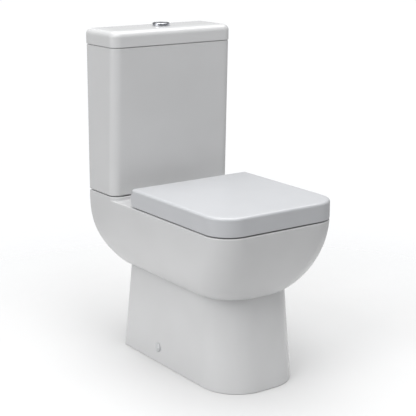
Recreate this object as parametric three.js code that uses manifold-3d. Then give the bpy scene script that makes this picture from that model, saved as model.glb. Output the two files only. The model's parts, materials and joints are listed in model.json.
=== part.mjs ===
// Close coupled toilet: a box-rim pan on a pedestal foot, a slim ceramic cistern standing on the pan's deck,
// a wrap-over seat and cover on two hinge posts, a dual push button with its flush valve, and a fill valve.
// Millimetres. +Z is up, -Y is the front, +Y is the wall. Z = 0 is the floor, and X = 0 the middle plane.

import * as THREE from 'three';
import { mergeVertices } from 'three/addons/utils/BufferGeometryUtils.js';
import Module from 'manifold-3d';

const wasm = await Module();
wasm.setup();

// ---- Driving dimensions ----------------------------------------------------------------------------------

const touch = 0.3; // gap kept between pieces that touch
const slack = 0.4; // radial gap round a shaft that turns or slides
const shortEdge = 0.03; // edges shorter than this are merged away

// Overall
const projection = 579.2; // front of the rim to the wall
const panWidth = 346.8;
const rimHeight = 406.5;
const cisternHeight = 371.5;
const lidHeight = 40;
const ceramicWall = 9;

// Pan: outer form
const creaseHeight = 229; // where the bowl's underside meets the pedestal
const creaseWidth = 228;
const creaseFront = 73.4; // set back from the front of the rim
const creaseBack = 98; // set forward from the wall
const creaseRadius = 95;
const footWidth = 240.4;
const footFront = 50.5;
const footBack = 67.7;
const footRadius = 99;
const footLip = 16; // width of the edge that stands on the floor
const footLipHeight = 12;
const panBackGap = 2.8; // pan's back edge to the wall
const rimCornerRadius = 65;
const panBackRadius = 3;
const sideCurve = [2.31, 1.7]; // exponents of the bowl's outside curve at the sides
const frontCurve = [2.05, 1.1];
const backCurve = [3.4, 0.8];

// Pan: rim, bowl and plinth
const rimThickness = 11.5;
const rimLedge = 46; // rim's outer edge to the bowl's mouth at the front
const mouthWidth = 252;
const mouthFrontRadius = 74;
const mouthBackRadius = 60;
const mouthToHinge = 54.5; // back of the mouth to the seat's hinge line
const rimLipDrop = 43; // the inner lip of the rim channel hangs this far below the rim
const rimChannel = 9; // gap between the lip and the bowl's wall
const sumpFloor = 100;
const sumpWidth = 72;
const sumpLength = 70;
const plinthHeight = 8.5; // raised pad that the cistern stands on

// Pan: waterways
const trapBore = 28;
const trapWall = 8;
const trapBendSpare = 6; // room inside each bend of the trap
const trapClimb = 70; // degrees above level on the way up to the weir
const trapFall = 50; // degrees below level on the way down to the spigot
const spigotBore = 41;
const spigotRadius = 51; // 102 mm outlet spigot
const spigotHeight = 182;
const spigotLength = 58;
const spigotToWall = 27;
const weirRise = 54; // axis of the trap's crest above the spigot's axis
const inletBore = 24; // flush inlet in the deck
const inletWellDepth = 27;
const inletBossWall = 9;
const ductHeight = 24;
const ductWidth = 60;

// Cistern
const cisternGap = 2; // shadow gap between the plinth and the cistern
const cisternWidthTop = 350.8;
const cisternWidthBottom = 354.6;
const cisternDepthTop = 135.3;
const cisternDepthBottom = 119.8;
const cisternCornerRadius = 23;
const cisternBackRadius = 3;
const cisternFloor = 10;
const cisternEdge = 5; // rounding of the bottom edge
const lidOverhang = 1.2;
const lidGap = 1.4; // shadow gap under the lid
const lidRounding = 15;
const lidFlangeDrop = 13; // locating flange inside the cistern
const lidPlate = 11;

// Buttons
const buttonRadius = 17.2;
const bezelSleeveWall = 1;
const bezelFlange = 3.1; // the bezel's rim past its sleeve
const bezelHeight = 8;
const buttonCrown = 3;
const buttonSplit = -4; // X of the line between the half and the full flush button
const buttonTravel = 8;
const fullRodX = 10;
const halfRodX = -12;
const rodRadius = 3;

// Seat and cover
const coverGap = 3.3; // rim to the cover's skirt and the seat
const coverHeight = 45.7;
const coverWall = 4;
const coverPlate = 8;
const coverEdge = 7; // rounding of the cover's top edge
const coverToCistern = 79.2; // cover's back edge to the foot of the cistern's front
const coverBackRadius = 8;
const seatGap = 1.2; // between the seat's edge and the cover's skirt
const seatThickness = 24;
const seatMouthWidth = 224;
const seatRing = 56; // width of the ring at the front
const seatBackBar = 54; // back of the seat's mouth to its back edge
const seatBackToHinge = 20;
const hingeInset = 9.9; // hinge line, forward of the cover's back edge
const hingeRise = 20.5; // hinge line above the rim
const hingeSpacing = 155; // the two fixing holes
const knuckleRadius = 9.5;
const hingePinRadius = 4;
const postHalfWidth = 12;

// Flush valve
const tailRadius = 25;
const tailBore = 21;
const backNutWall = 5; // tail to the back nut's flats
const gasketWall = 8;
const flangeWidth = 9; // tail to the edge of the valve's flange and cage
const cageWall = 2.6;
const cageToFront = 3.6; // cage to the inside of the cistern's front
const cageHeight = 235;
const overflowRadius = 14.5;
const overflowHeight = 221; // top of the overflow above the tank's floor

// Fill valve
const fillX = 128;
const fillFromBack = 58; // fill valve's axis, forward of the cistern's back
const shankRadius = 10;
const fillColumn = 213; // top of the fill valve's column above the tank's floor
const floatArm = 46;
const floatRadius = 19;
const floatHeight = 46;
const floatDrop = 28; // degrees the arm hangs below level in an empty cistern

// Fixings
const boltX = 75;
const boltFromBack = 50; // coupling bolts, forward of the cistern's back
const boltRadius = 4;
const sideScrewHeight = 41;
const sideScrewFromWall = 229.6;
const capRadius = 11.5;

// ---- Levels and planes that follow -----------------------------------------------------------------------

const wallY = projection / 2;
const frontY = -projection / 2;
const cisternBack = wallY - lidOverhang;
const panBack = wallY - panBackGap;
const deckUnder = rimHeight - rimThickness;
const plinthTop = rimHeight + plinthHeight;
const cisternBase = plinthTop + cisternGap;
const tankFloor = cisternBase + cisternFloor;
const cisternTop = cisternBase + cisternHeight;
const lidBase = cisternTop + lidGap;
const lidTop = lidBase + lidHeight;
const coverBase = rimHeight + coverGap;
const coverTop = coverBase + coverHeight;
const coverUnder = coverTop - coverPlate;
const cisternFrontBottom = cisternBack - cisternDepthBottom;
const coverBack = cisternFrontBottom - coverToCistern;
const hingeY = coverBack - hingeInset;
const hingeZ = rimHeight + hingeRise;
const seatTop = coverBase + seatThickness;
const seatBack = hingeY - seatBackToHinge;
const mouthBack = hingeY - mouthToHinge;
const fillY = cisternBack - fillFromBack;
const boltY = cisternBack - boltFromBack;
const screwY = wallY - sideScrewFromWall;
const cageRadius = tailRadius + flangeWidth;
const buttonY = cisternFrontBottom + ceramicWall + cageRadius + cageToFront;
const backNutAcross = 2 * (tailRadius + backNutWall);
const nutCorner = backNutAcross / Math.sqrt(3);
const gasketBore = nutCorner + 1;
const inletWellRadius = gasketBore + gasketWall + 1;
const trapBend = trapBore + trapWall + trapBendSpare; // radius of the centre line in each bend
const bezelBore = buttonRadius + slack;
const bezelSleeveRadius = bezelBore + bezelSleeveWall;
const bezelRadius = bezelSleeveRadius + bezelFlange;
const fillTop = tankFloor + fillColumn;
const overflowTop = tankFloor + overflowHeight;

// ---- Solids ----------------------------------------------------------------------------------------------

// A closed three.js geometry as a manifold-3d solid that faces out.
function solidOf(geometry) {
  const bare = geometry.clone();
  bare.deleteAttribute('normal');
  bare.deleteAttribute('uv');
  const merged = mergeVertices(bare, 1e-4);
  const position = merged.attributes.position;
  const index = merged.index.array;
  const corners = [0, 1, 2].map(() => new THREE.Vector3());
  const triangles = [];
  let volume = 0;
  for (let i = 0; i < index.length; i += 3) {
    const [a, b, c] = [index[i], index[i + 1], index[i + 2]];
    if (a === b || b === c || c === a) continue;
    triangles.push([a, b, c]);
    [a, b, c].forEach((vertex, k) => corners[k].fromBufferAttribute(position, vertex));
    volume += corners[0].dot(corners[1].clone().cross(corners[2]));
  }
  const faces = volume < 0 ? triangles.map(([a, b, c]) => [a, c, b]) : triangles;
  return new wasm.Manifold(new wasm.Mesh({
    numProp: 3,
    vertProperties: Float32Array.from(position.array),
    triVerts: Uint32Array.from(faces.flat()),
  }));
}

function geometryOf(solid) {
  const mesh = solid.simplify(shortEdge).getMesh();
  const geometry = new THREE.BufferGeometry();
  geometry.setAttribute('position', new THREE.BufferAttribute(Float32Array.from(mesh.vertProperties), 3));
  geometry.setIndex(Array.from(mesh.triVerts));
  geometry.computeVertexNormals();
  return geometry;
}

// A solid through a stack of outlines with the same number of points, counter-clockwise seen from above.
function loft(outlines) {
  const count = outlines[0].length;
  const points = outlines.flat();
  const index = [];
  for (let level = 0; level + 1 < outlines.length; level++) {
    for (let i = 0; i < count; i++) {
      const a = level * count + i;
      const b = level * count + ((i + 1) % count);
      index.push(a, b, b + count, a, b + count, a + count);
    }
  }
  const top = (outlines.length - 1) * count;
  for (let i = 1; i + 1 < count; i++) {
    index.push(0, i + 1, i, top, top + i, top + i + 1);
  }
  const geometry = new THREE.BufferGeometry().setFromPoints(points);
  geometry.setIndex(index);
  return solidOf(geometry);
}

// Rounded rectangle at one height. half is its half width; front and back are its ends along Y.
function outline({ half, front, back, frontRadius, backRadius = frontRadius, z, x = 0, steps = 7,
  backSteps = 4 }) {
  const room = Math.min(half, (back - front) / 2) - 0.01;
  const rf = Math.min(frontRadius, room);
  const rb = Math.min(backRadius, room);
  const corners = [
    [half - rf, front + rf, rf, -90, steps],
    [half - rb, back - rb, rb, 0, backSteps],
    [-half + rb, back - rb, rb, 90, backSteps],
    [-half + rf, front + rf, rf, 180, steps],
  ];
  return corners.flatMap(([cx, cy, radius, start, parts]) =>
    Array.from({ length: parts + 1 }, (_, i) => {
      const angle = THREE.MathUtils.degToRad(start + (90 * i) / parts);
      return new THREE.Vector3(x + cx + radius * Math.cos(angle), cy + radius * Math.sin(angle), z);
    }));
}

// The same outline moved inwards by inset (outwards if negative) and put at z.
function insetOutline(shape, inset, z) {
  const radius = (value) => Math.max(value - inset, 0.5);
  return outline({
    ...shape,
    half: shape.half - inset,
    front: shape.front + inset,
    back: shape.back - inset,
    frontRadius: radius(shape.frontRadius),
    backRadius: radius(shape.backRadius ?? shape.frontRadius),
    z,
  });
}

function box(x0, x1, y0, y1, z0, z1) {
  const geometry = new THREE.BoxGeometry(x1 - x0, y1 - y0, z1 - z0);
  geometry.translate((x0 + x1) / 2, (y0 + y1) / 2, (z0 + z1) / 2);
  return solidOf(geometry);
}

// Turns a closed profile of [radius, height] points about the Z axis.
function revolve(profile, segments = 24) {
  const closed = [...profile, profile[0]].map(([radius, height]) => new THREE.Vector2(radius, height));
  return solidOf(new THREE.LatheGeometry(closed, segments).rotateX(Math.PI / 2));
}

function disc(radius, z0, z1, segments = 24) {
  return revolve([[0, z0], [radius, z0], [radius, z1], [0, z1]], segments);
}

function ring(outer, inner, z0, z1, segments = 24) {
  return revolve([[inner, z0], [outer, z0], [outer, z1], [inner, z1]], segments);
}

// Turns a piece made along Z so that its axis runs along +X, through the point given.
function alongX(solid, y, z) {
  return solid.rotate([0, 90, 0]).translate([0, y, z]);
}

function hexagon(acrossFlats, z0, z1) {
  return disc(acrossFlats / Math.sqrt(3), z0, z1, 6);
}

function sweepTube(points, radius, steps, sides = 20) {
  const route = new THREE.CatmullRomCurve3(points.map(([y, z]) => new THREE.Vector3(0, y, z)), false,
    'centripetal');
  const section = new THREE.Shape();
  section.absarc(0, 0, radius, 0, Math.PI * 2, false);
  const options = { steps, curveSegments: sides / 2, extrudePath: route, bevelEnabled: false };
  return solidOf(new THREE.ExtrudeGeometry(section, options));
}

// ---- Parts list ------------------------------------------------------------------------------------------

const toilet = new THREE.Group();

const finishes = {
  glaze: { color: 0xf1f2f3, roughness: 0.12, metalness: 0 },
  seatPlastic: { color: 0xeef0f5, roughness: 0.2, metalness: 0 },
  chrome: { color: 0xd9dbde, roughness: 0.08, metalness: 1 },
  steel: { color: 0xb5b8bb, roughness: 0.35, metalness: 1 },
  whitePlastic: { color: 0xe8e9e7, roughness: 0.45, metalness: 0 },
  greyPlastic: { color: 0x8d9196, roughness: 0.5, metalness: 0 },
  bluePlastic: { color: 0x4f7fa6, roughness: 0.5, metalness: 0 },
  rubber: { color: 0x2a2b2d, roughness: 0.85, metalness: 0 },
};

function addPart(name, solid, finish, place = toilet) {
  const mesh = new THREE.Mesh(geometryOf(solid), new THREE.MeshStandardMaterial(finishes[finish]));
  mesh.name = name;
  place.add(mesh);
}

// Adds the left (-X) and the right (+X) copy of a piece that makeSolid builds for a side of -1 or 1.
function addPair(name, makeSolid, finish) {
  addPart(`${name}_left`, makeSolid(-1), finish);
  addPart(`${name}_right`, makeSolid(1), finish);
}

const mix = (a, b, t) => a + (b - a) * t;

// ---- Soil way --------------------------------------------------------------------------------------------

// The passage leaves the sump level, climbs over the weir and comes down to the spigot. Its route is worked
// out as [y, z] steps from bends of one radius and the straight runs that the heights leave between them.
const spigotStart = wallY - spigotToWall - spigotLength;

function trapSteps() {
  const climb = THREE.MathUtils.degToRad(trapClimb);
  const fall = THREE.MathUtils.degToRad(trapFall);
  const crestZ = spigotHeight + weirRise;
  const entryZ = sumpFloor + trapBore;
  const rise = (crestZ - entryZ - 2 * trapBend * (1 - Math.cos(climb))) / Math.sin(climb);
  const drop = (weirRise - 2 * trapBend * (1 - Math.cos(fall))) / Math.sin(fall);
  const steps = [[0, entryZ]];
  const last = () => steps[steps.length - 1];
  const run = (length, heading) => {
    const [y, z] = last();
    steps.push([y + length * Math.cos(heading), z + length * Math.sin(heading)]);
  };
  const bend = (from, to) => {
    const [y, z] = last();
    const turn = Math.sign(to - from) * trapBend;
    for (let i = 1; i <= 6; i++) {
      const heading = mix(from, to, i / 6);
      steps.push([
        y + turn * (Math.sin(heading) - Math.sin(from)),
        z + turn * (Math.cos(from) - Math.cos(heading)),
      ]);
    }
  };
  bend(0, climb);
  run(rise, climb);
  bend(climb, -fall);
  run(drop, -fall);
  bend(-fall, 0);
  run(10, 0);
  const shift = spigotStart + 8 - last()[0];
  return steps.map(([y, z]) => [y + shift, z]);
}

const trapRoute = trapSteps();
const sumpY = trapRoute[0][0] - trapBore / 2; // middle of the sump
trapRoute.unshift([sumpY, trapRoute[0][1]]);

// ---- Pan -------------------------------------------------------------------------------------------------

// How far the bowl's outside has drawn in, from 0 at the rim to 1 at the crease.
const drawnIn = (s, [p, q]) => 1 - (1 - s ** p) ** (1 / q);

// Outline of the pan's outside at a height, as sizes for outline().
function panShape(z) {
  const crease = {
    half: creaseWidth / 2,
    front: frontY + creaseFront,
    back: wallY - creaseBack,
    frontRadius: creaseRadius,
  };
  if (z <= creaseHeight) {
    const t = z / creaseHeight;
    return {
      half: mix(footWidth / 2, crease.half, t),
      front: mix(frontY + footFront, crease.front, t),
      back: mix(wallY - footBack, crease.back, t),
      frontRadius: mix(footRadius, crease.frontRadius, t),
      backRadius: panBackRadius,
    };
  }
  const s = Math.min(Math.max((rimHeight - z) / (rimHeight - creaseHeight), 0), 1);
  return {
    half: mix(panWidth / 2, crease.half, drawnIn(s, sideCurve)),
    front: mix(frontY, crease.front, drawnIn(s, frontCurve)),
    back: mix(panBack, crease.back, drawnIn(s, backCurve)),
    frontRadius: mix(rimCornerRadius, crease.frontRadius, s),
    backRadius: panBackRadius,
  };
}

// Heights of the bowl's sections, closer together towards the crease where its side turns under.
function bowlLevels(count) {
  return Array.from({ length: count }, (_, i) =>
    rimHeight - (rimHeight - creaseHeight) * Math.cos((Math.PI / 2) * ((i + 0.6) / count)));
}

function panOutside() {
  const edge = 3; // softened edge of the rim
  const levels = [0, creaseHeight / 2, creaseHeight, ...bowlLevels(9), rimHeight - edge];
  const body = levels.map((z) => outline({ ...panShape(z), z }));
  const rim = insetOutline(panShape(rimHeight), edge * 0.3, rimHeight - edge * 0.3);
  return loft([...body, rim, insetOutline(panShape(rimHeight), edge, rimHeight)]);
}

// Hollow of the pedestal and under the deck, open at the floor and at the back.
function panHollow() {
  const openBack = wallY + 50;
  const lip = [-1, footLipHeight].map((z) => ({ z, inset: footLip }));
  const levels = [footLipHeight + 1, creaseHeight / 2, creaseHeight, ...bowlLevels(7)]
    .filter((z) => z < deckUnder - 1)
    .map((z) => ({ z, inset: ceramicWall }));
  const top = { z: deckUnder, inset: ceramicWall };
  return loft([...lip, ...levels, top].map(({ z, inset }) => {
    const shape = panShape(Math.max(z, 0));
    return insetOutline({ ...shape, back: openBack + inset }, inset, z);
  }));
}

const rimRoomInset = ceramicWall + 3;
const rimRoomShape = {
  half: panWidth / 2 - rimRoomInset,
  front: frontY + rimRoomInset,
  back: mouthBack + ceramicWall + rimChannel,
  frontRadius: rimCornerRadius - rimRoomInset,
  backRadius: mouthBackRadius,
};

// Inside of the bowl from the rim down to the sump; grow adds a wall round it.
function bowlInside(grow) {
  const sump = {
    half: sumpWidth / 2,
    front: sumpY - sumpLength / 2,
    back: sumpY + sumpLength / 2,
    frontRadius: sumpWidth / 2 - 2,
  };
  const depth = deckUnder - sumpFloor;
  const shares = [1, 0.97, 0.88, 0.78, 0.67, 0.56, 0.45, 0.34, 0.22, 0.1, 0];
  return loft(shares.map((t) => {
    const u = THREE.MathUtils.clamp((t - 0.08) / 0.92, 0, 1);
    const eased = u * u * (3 - 2 * u);
    const bottom = t === 1 ? grow : 0;
    return outline({
      half: mix(rimRoomShape.half, sump.half, eased) + grow,
      front: mix(rimRoomShape.front, sump.front, eased) - grow,
      back: mix(rimRoomShape.back, sump.back, eased ** 1.6) + grow,
      frontRadius: mix(rimRoomShape.frontRadius, sump.frontRadius, eased) + grow,
      backRadius: mix(rimRoomShape.backRadius, sump.frontRadius, eased) + grow,
      z: deckUnder - depth * t - bottom,
    });
  }));
}

const mouthShape = {
  half: mouthWidth / 2,
  front: frontY + rimLedge,
  back: mouthBack,
  frontRadius: mouthFrontRadius,
  backRadius: mouthBackRadius,
};

function rimLip() {
  const low = rimHeight - rimLipDrop;
  const outside = loft([low, rimHeight].map((z) => insetOutline(mouthShape, -ceramicWall, z)));
  return outside.subtract(mouthOpening());
}

function mouthOpening() {
  const edge = 4;
  return loft([
    insetOutline(mouthShape, 0, rimHeight - rimLipDrop - 1),
    insetOutline(mouthShape, 0, rimHeight - edge),
    insetOutline(mouthShape, -edge * 0.3, rimHeight - edge * 0.3),
    insetOutline(mouthShape, -edge, rimHeight + 0.01),
  ]);
}

const ductTop = deckUnder - 18;
const ductBack = buttonY + inletBore + 2;

function flushDuct(grow) {
  const half = ductWidth / 2 + grow;
  const front = grow ? mouthBack + ceramicWall + rimChannel : mouthBack + ceramicWall;
  return box(-half, half, front, ductBack + grow, ductTop - ductHeight - grow,
    grow ? deckUnder + 1 : ductTop);
}

function plinth() {
  const shape = {
    half: panWidth / 2,
    front: cisternFrontBottom - 1,
    back: panBack,
    frontRadius: cisternCornerRadius,
    backRadius: panBackRadius,
  };
  return loft([
    insetOutline(shape, 0, rimHeight - 4),
    insetOutline(shape, 0, plinthTop - 2),
    insetOutline(shape, 0.6, plinthTop - 0.6),
    insetOutline(shape, 2, plinthTop),
  ]);
}

// Everything that passes down through the deck.
function deckHoles() {
  const low = deckUnder - 30;
  const inlet = disc(inletBore, ductTop - 1, plinthTop).translate([0, buttonY, 0]);
  const well = disc(inletWellRadius, plinthTop - inletWellDepth, plinthTop + 1, 28)
    .translate([0, buttonY, 0]);
  const bolts = [-1, 1].map((side) => disc(boltRadius + 3, low, plinthTop + 1, 12)
    .translate([side * boltX, boltY, 0]));
  const seatHoles = [-1, 1].map((side) =>
    disc(8, low, rimHeight + 1, 16).translate([(side * hingeSpacing) / 2, hingeY, 0]));
  const supply = disc(22, low, plinthTop + 1, 20).translate([fillX, fillY, 0]);
  return wasm.Manifold.union([inlet, well, ...bolts, ...seatHoles, supply]);
}

function sideScrewHoles() {
  const reach = footWidth / 2 + 5;
  return alongX(disc(5, -reach, reach, 12), screwY, sideScrewHeight);
}

function pan() {
  const spigot = (radius, start, end) =>
    disc(radius, start, end, 28).rotate([-90, 0, 0]).translate([0, spigotStart, spigotHeight]);
  const outside = panOutside();
  const shell = outside.subtract(panHollow());
  const waterways = wasm.Manifold.union([
    bowlInside(ceramicWall),
    sweepTube(trapRoute, trapBore + trapWall, 30),
    flushDuct(ceramicWall),
  ]).intersect(wasm.Manifold.union(outside, box(-90, 90, 0, wallY - 5, 60, deckUnder)));
  const boss = disc(inletWellRadius + inletBossWall, ductTop - 1, rimHeight, 28).translate([0, buttonY, 0]);
  const solid = wasm.Manifold.union([shell, waterways, boss, plinth(),
    spigot(spigotRadius, -ceramicWall, spigotLength)]);
  const room = wasm.Manifold.union([
    bowlInside(0).subtract(rimLip()),
    mouthOpening(),
    sweepTube(trapRoute, trapBore, 30),
    spigot(spigotBore, 0, spigotLength + 1),
    flushDuct(0),
    deckHoles(),
    sideScrewHoles(),
  ]);
  return solid.subtract(room);
}

addPart('pan', pan(), 'glaze');

// ---- Floor fixings ---------------------------------------------------------------------------------------

const footHalfAtScrew = panShape(sideScrewHeight).half;
const footLeanAllowance = 0.7; // the foot's side leans by this much across a cap
const bracketX = footHalfAtScrew - ceramicWall - 9;
const screwHeadX = footHalfAtScrew + footLeanAllowance;

// A piece made along +X at the side screw, turned round for the left side.
function atSideScrew(solid, side) {
  const placed = alongX(solid, screwY, sideScrewHeight);
  return side > 0 ? placed : placed.mirror([1, 0, 0]);
}

addPair('screw_cap', (side) => atSideScrew(revolve([
  [9, screwHeadX], [capRadius, screwHeadX], [capRadius, screwHeadX + 1.5], [9.5, screwHeadX + 4],
  [5.5, screwHeadX + 5.4], [0, screwHeadX + 5.9], [0, screwHeadX + 3.9], [8, screwHeadX + 3.2],
]), side), 'whitePlastic');

addPair('side_screw', (side) => atSideScrew(revolve([
  [0, bracketX - 14], [2.6, bracketX - 12], [2.6, screwHeadX], [6.6, screwHeadX],
  [5.6, screwHeadX + 2.4], [0, screwHeadX + 3],
], 16), side), 'steel');

function floorBracket() {
  const width = 17;
  const plate = 4;
  const leg = box(bracketX - plate, bracketX, screwY - width, screwY + width, 0, sideScrewHeight + 14);
  const base = box(bracketX - 38, bracketX, screwY - width, screwY + width, 0, plate);
  const rib = box(bracketX - 20, bracketX - 1, screwY + width - 3, screwY + width, 0, 24);
  const sideHole = alongX(disc(2.6 + slack, bracketX - 20, bracketX + 5, 16), screwY, sideScrewHeight);
  const floorHole = disc(2.6 + slack, -1, plate + 1, 16).translate([bracketX - 24, screwY, 0]);
  return wasm.Manifold.union([leg, base, rib]).subtract(wasm.Manifold.union(sideHole, floorHole));
}

addPair('floor_bracket', (side) => (side > 0 ? floorBracket() : floorBracket().mirror([1, 0, 0])),
  'whitePlastic');

addPair('floor_screw', (side) => revolve([
  [0, 0], [2.6, 0], [2.6, 4 + touch], [6.4, 4 + touch], [5.2, 7], [0, 7.6],
], 16).translate([side * (bracketX - 24), screwY, 0]), 'steel');

// ---- Cistern and what couples it to the pan --------------------------------------------------------------

// Outline of the cistern's outside at a height, as sizes for outline().
function cisternShape(z) {
  const t = (z - cisternBase) / cisternHeight;
  return {
    half: mix(cisternWidthBottom, cisternWidthTop, t) / 2,
    front: cisternBack - mix(cisternDepthBottom, cisternDepthTop, t),
    back: cisternBack,
    frontRadius: cisternCornerRadius,
    backRadius: cisternBackRadius,
  };
}

const floorHoles = {
  flush: { x: 0, y: buttonY, radius: tailRadius + 1.5 },
  supply: { x: fillX, y: fillY, radius: shankRadius + 1.5 },
  boltLeft: { x: -boltX, y: boltY, radius: boltRadius + 1.5 },
  boltRight: { x: boltX, y: boltY, radius: boltRadius + 1.5 },
};

function cistern() {
  const levels = [cisternBase + cisternEdge, cisternTop - 2];
  const outside = loft([
    insetOutline(cisternShape(cisternBase), cisternEdge, cisternBase),
    insetOutline(cisternShape(cisternBase), cisternEdge * 0.3, cisternBase + cisternEdge * 0.3),
    ...levels.map((z) => outline({ ...cisternShape(z), z })),
    insetOutline(cisternShape(cisternTop), 2, cisternTop),
  ]);
  const corner = 4;
  const inside = loft([
    insetOutline(cisternShape(tankFloor), ceramicWall + corner, tankFloor),
    insetOutline(cisternShape(tankFloor), ceramicWall + corner * 0.3, tankFloor + corner * 0.3),
    insetOutline(cisternShape(tankFloor), ceramicWall, tankFloor + corner),
    insetOutline(cisternShape(cisternTop), ceramicWall, cisternTop + 1),
  ]);
  const holes = Object.values(floorHoles).map(({ x, y, radius }) =>
    disc(radius, cisternBase - 1, tankFloor + 1).translate([x, y, 0]));
  return outside.subtract(wasm.Manifold.union([inside, ...holes]));
}

addPart('cistern', cistern(), 'glaze');

const bearingPad = (side) => outline({
  half: 11, front: fillY - 60, back: fillY - 30, frontRadius: 3, z: 0, x: side * 138, steps: 2,
  backSteps: 2,
});
addPair('cistern_pad', (side) => loft([plinthTop + touch, cisternBase - touch].map((z) =>
  bearingPad(side).map((point) => point.clone().setZ(z)))), 'rubber');

const boltHead = tankFloor + 6.4;
addPair('coupling_seal', (side) => revolve([
  [boltRadius + slack, tankFloor + touch], [13, tankFloor + touch], [12, tankFloor + 3],
  [8.5, boltHead - touch], [boltRadius + slack, boltHead - touch],
]).translate([side * boltX, boltY, 0]), 'rubber');

addPair('coupling_bolt', (side) => wasm.Manifold.union(
  disc(boltRadius, deckUnder - 32, boltHead + 1, 16),
  revolve([[0, boltHead], [8, boltHead], [8, boltHead + 3], [5, boltHead + 5], [0, boltHead + 5.4]]),
).translate([side * boltX, boltY, 0]), 'steel');

addPair('coupling_washer', (side) =>
  ring(13, boltRadius + slack, deckUnder - touch - 2, deckUnder - touch)
    .translate([side * boltX, boltY, 0]), 'steel');

// Nut with two wings, its top face at z.
function wingNut(bore, hubRadius, hubHeight, span, z) {
  const hub = disc(hubRadius, z - hubHeight, z, 20);
  const wing = box(-span / 2, span / 2, -1.8, 1.8, z - hubHeight * 1.7, z - hubHeight * 0.25);
  return wasm.Manifold.union(hub, wing).subtract(disc(bore, z - hubHeight * 2, z + 1, 16));
}

addPair('coupling_nut', (side) =>
  wingNut(boltRadius + slack, 7, 9, 34, deckUnder - 2 - touch * 2).translate([side * boltX, boltY, 0]),
    'steel');

const wellFloor = plinthTop - inletWellDepth;
const backNutHeight = 11;
addPart('flush_back_nut', hexagon(backNutAcross, cisternBase - touch - backNutHeight, cisternBase - touch)
  .subtract(disc(tailRadius + slack, wellFloor - 5, cisternBase + 1)).translate([0, buttonY, 0]),
    'whitePlastic');

const gasketEdge = gasketBore + gasketWall;
addPart('coupling_gasket', revolve([
  [gasketBore, wellFloor + 2.3], [gasketBore + 2, wellFloor + touch], [gasketEdge - 2, wellFloor + touch],
  [gasketEdge, wellFloor + 2.3], [gasketEdge, cisternBase - 3], [gasketEdge - 2, cisternBase - touch],
  [gasketBore + 2, cisternBase - touch], [gasketBore, cisternBase - 3],
], 28).translate([0, buttonY, 0]), 'rubber');

// ---- Flush valve -----------------------------------------------------------------------------------------

const flangeBase = tankFloor + 3.6;
const valveSeatZ = tankFloor + 15;
const cageBase = tankFloor + 8;
const cageTop = cageBase + cageHeight;

addPart('flush_base_seal', ring(cageRadius - 3, tailRadius + slack, tankFloor + touch, flangeBase - touch)
  .translate([0, buttonY, 0]), 'rubber');

addPart('flush_valve_base', revolve([
  [tailBore, wellFloor + 3], [tailRadius, wellFloor + 3], [tailRadius, flangeBase],
  [cageRadius, flangeBase],
  [cageRadius, cageBase - touch], [tailRadius, cageBase - touch], [tailRadius, valveSeatZ - 2],
  [tailBore + 1.5, valveSeatZ], [tailBore, valveSeatZ],
]).translate([0, buttonY, 0]), 'whitePlastic');

function flushCage() {
  const tube = ring(cageRadius, cageRadius - cageWall, cageBase, cageTop);
  const window = (z0, z1) => [45, 135].map((angle) =>
    box(-cageRadius - 1, cageRadius + 1, -11, 11, z0, z1).rotate([0, 0, angle]));
  const upper = window(cageTop - 60, cageTop - 24);
  return tube.subtract(wasm.Manifold.union([...window(cageBase + 8, cageBase + 46), ...upper]));
}
addPart('flush_valve_cage', flushCage().translate([0, buttonY, 0]), 'whitePlastic');

const valveDisc = tailRadius + 2;
addPart('overflow_tube', revolve([
  [overflowRadius - 2, valveSeatZ + 3.4], [valveDisc, valveSeatZ + 3.4], [valveDisc, valveSeatZ + 5.4],
  [overflowRadius + 3, valveSeatZ + 9], [overflowRadius, valveSeatZ + 16], [overflowRadius, overflowTop],
  [overflowRadius - 2, overflowTop],
]).translate([0, buttonY, 0]), 'bluePlastic');

addPart('flush_seal', ring(valveDisc - 1, overflowRadius, valveSeatZ + touch, valveSeatZ + 3.4 - touch)
  .translate([0, buttonY, 0]), 'rubber');

const headBase = cageTop + touch;
const headTop = headBase + 34;
const plungerRadius = 5.6;
const plungerLow = headBase + 4;
const plungerTop = headTop + 17;

function flushHead() {
  const body = revolve([
    [0, headBase], [cageRadius, headBase], [cageRadius, headBase + 10], [cageRadius - 5, headTop - 4],
    [cageRadius - 8, headTop], [0, headTop],
  ]);
  const low = plungerLow - buttonTravel - 1;
  const bores = [fullRodX, halfRodX].map((x) => disc(plungerRadius + slack, low, headTop + 1, 16)
    .translate([x, 0, 0]));
  return body.subtract(wasm.Manifold.union(bores));
}
addPart('flush_valve_head', flushHead().translate([0, buttonY, 0]), 'bluePlastic');

const plunger = (x) => revolve([
  [0, plungerLow + 2], [plungerRadius - 1, plungerLow + 2], [plungerRadius, plungerLow + 3],
  [plungerRadius, plungerTop - 1], [plungerRadius - 1, plungerTop], [0, plungerTop],
], 16).translate([x, buttonY, 0]);
addPart('plunger_full', plunger(fullRodX), 'greyPlastic');
addPart('plunger_half', plunger(halfRodX), 'greyPlastic');

// ---- Fill valve ------------------------------------------------------------------------------------------

const fillFlange = tankFloor + 3.4;
addPart('fill_valve_seal', ring(16, shankRadius + slack, tankFloor + touch, fillFlange - touch, 20)
  .translate([fillX, fillY, 0]), 'rubber');

addPart('fill_valve_body', revolve([
  [5.5, deckUnder - 42], [shankRadius, deckUnder - 42], [shankRadius, fillFlange], [17, fillFlange],
  [17, fillFlange + 5], [9, fillFlange + 8], [9, fillTop], [5.5, fillTop],
], 20).translate([fillX, fillY, 0]), 'whitePlastic');

addPart('fill_valve_nut', hexagon(32, cisternBase - touch - 9, cisternBase - touch)
  .subtract(disc(shankRadius + slack, cisternBase - 20, cisternBase + 1, 20))
    .translate([fillX, fillY, 0]), 'whitePlastic');

const armPivotX = fillX - 26;
const armPivotZ = fillTop + 15;
const armHalfWidth = 3;

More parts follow.
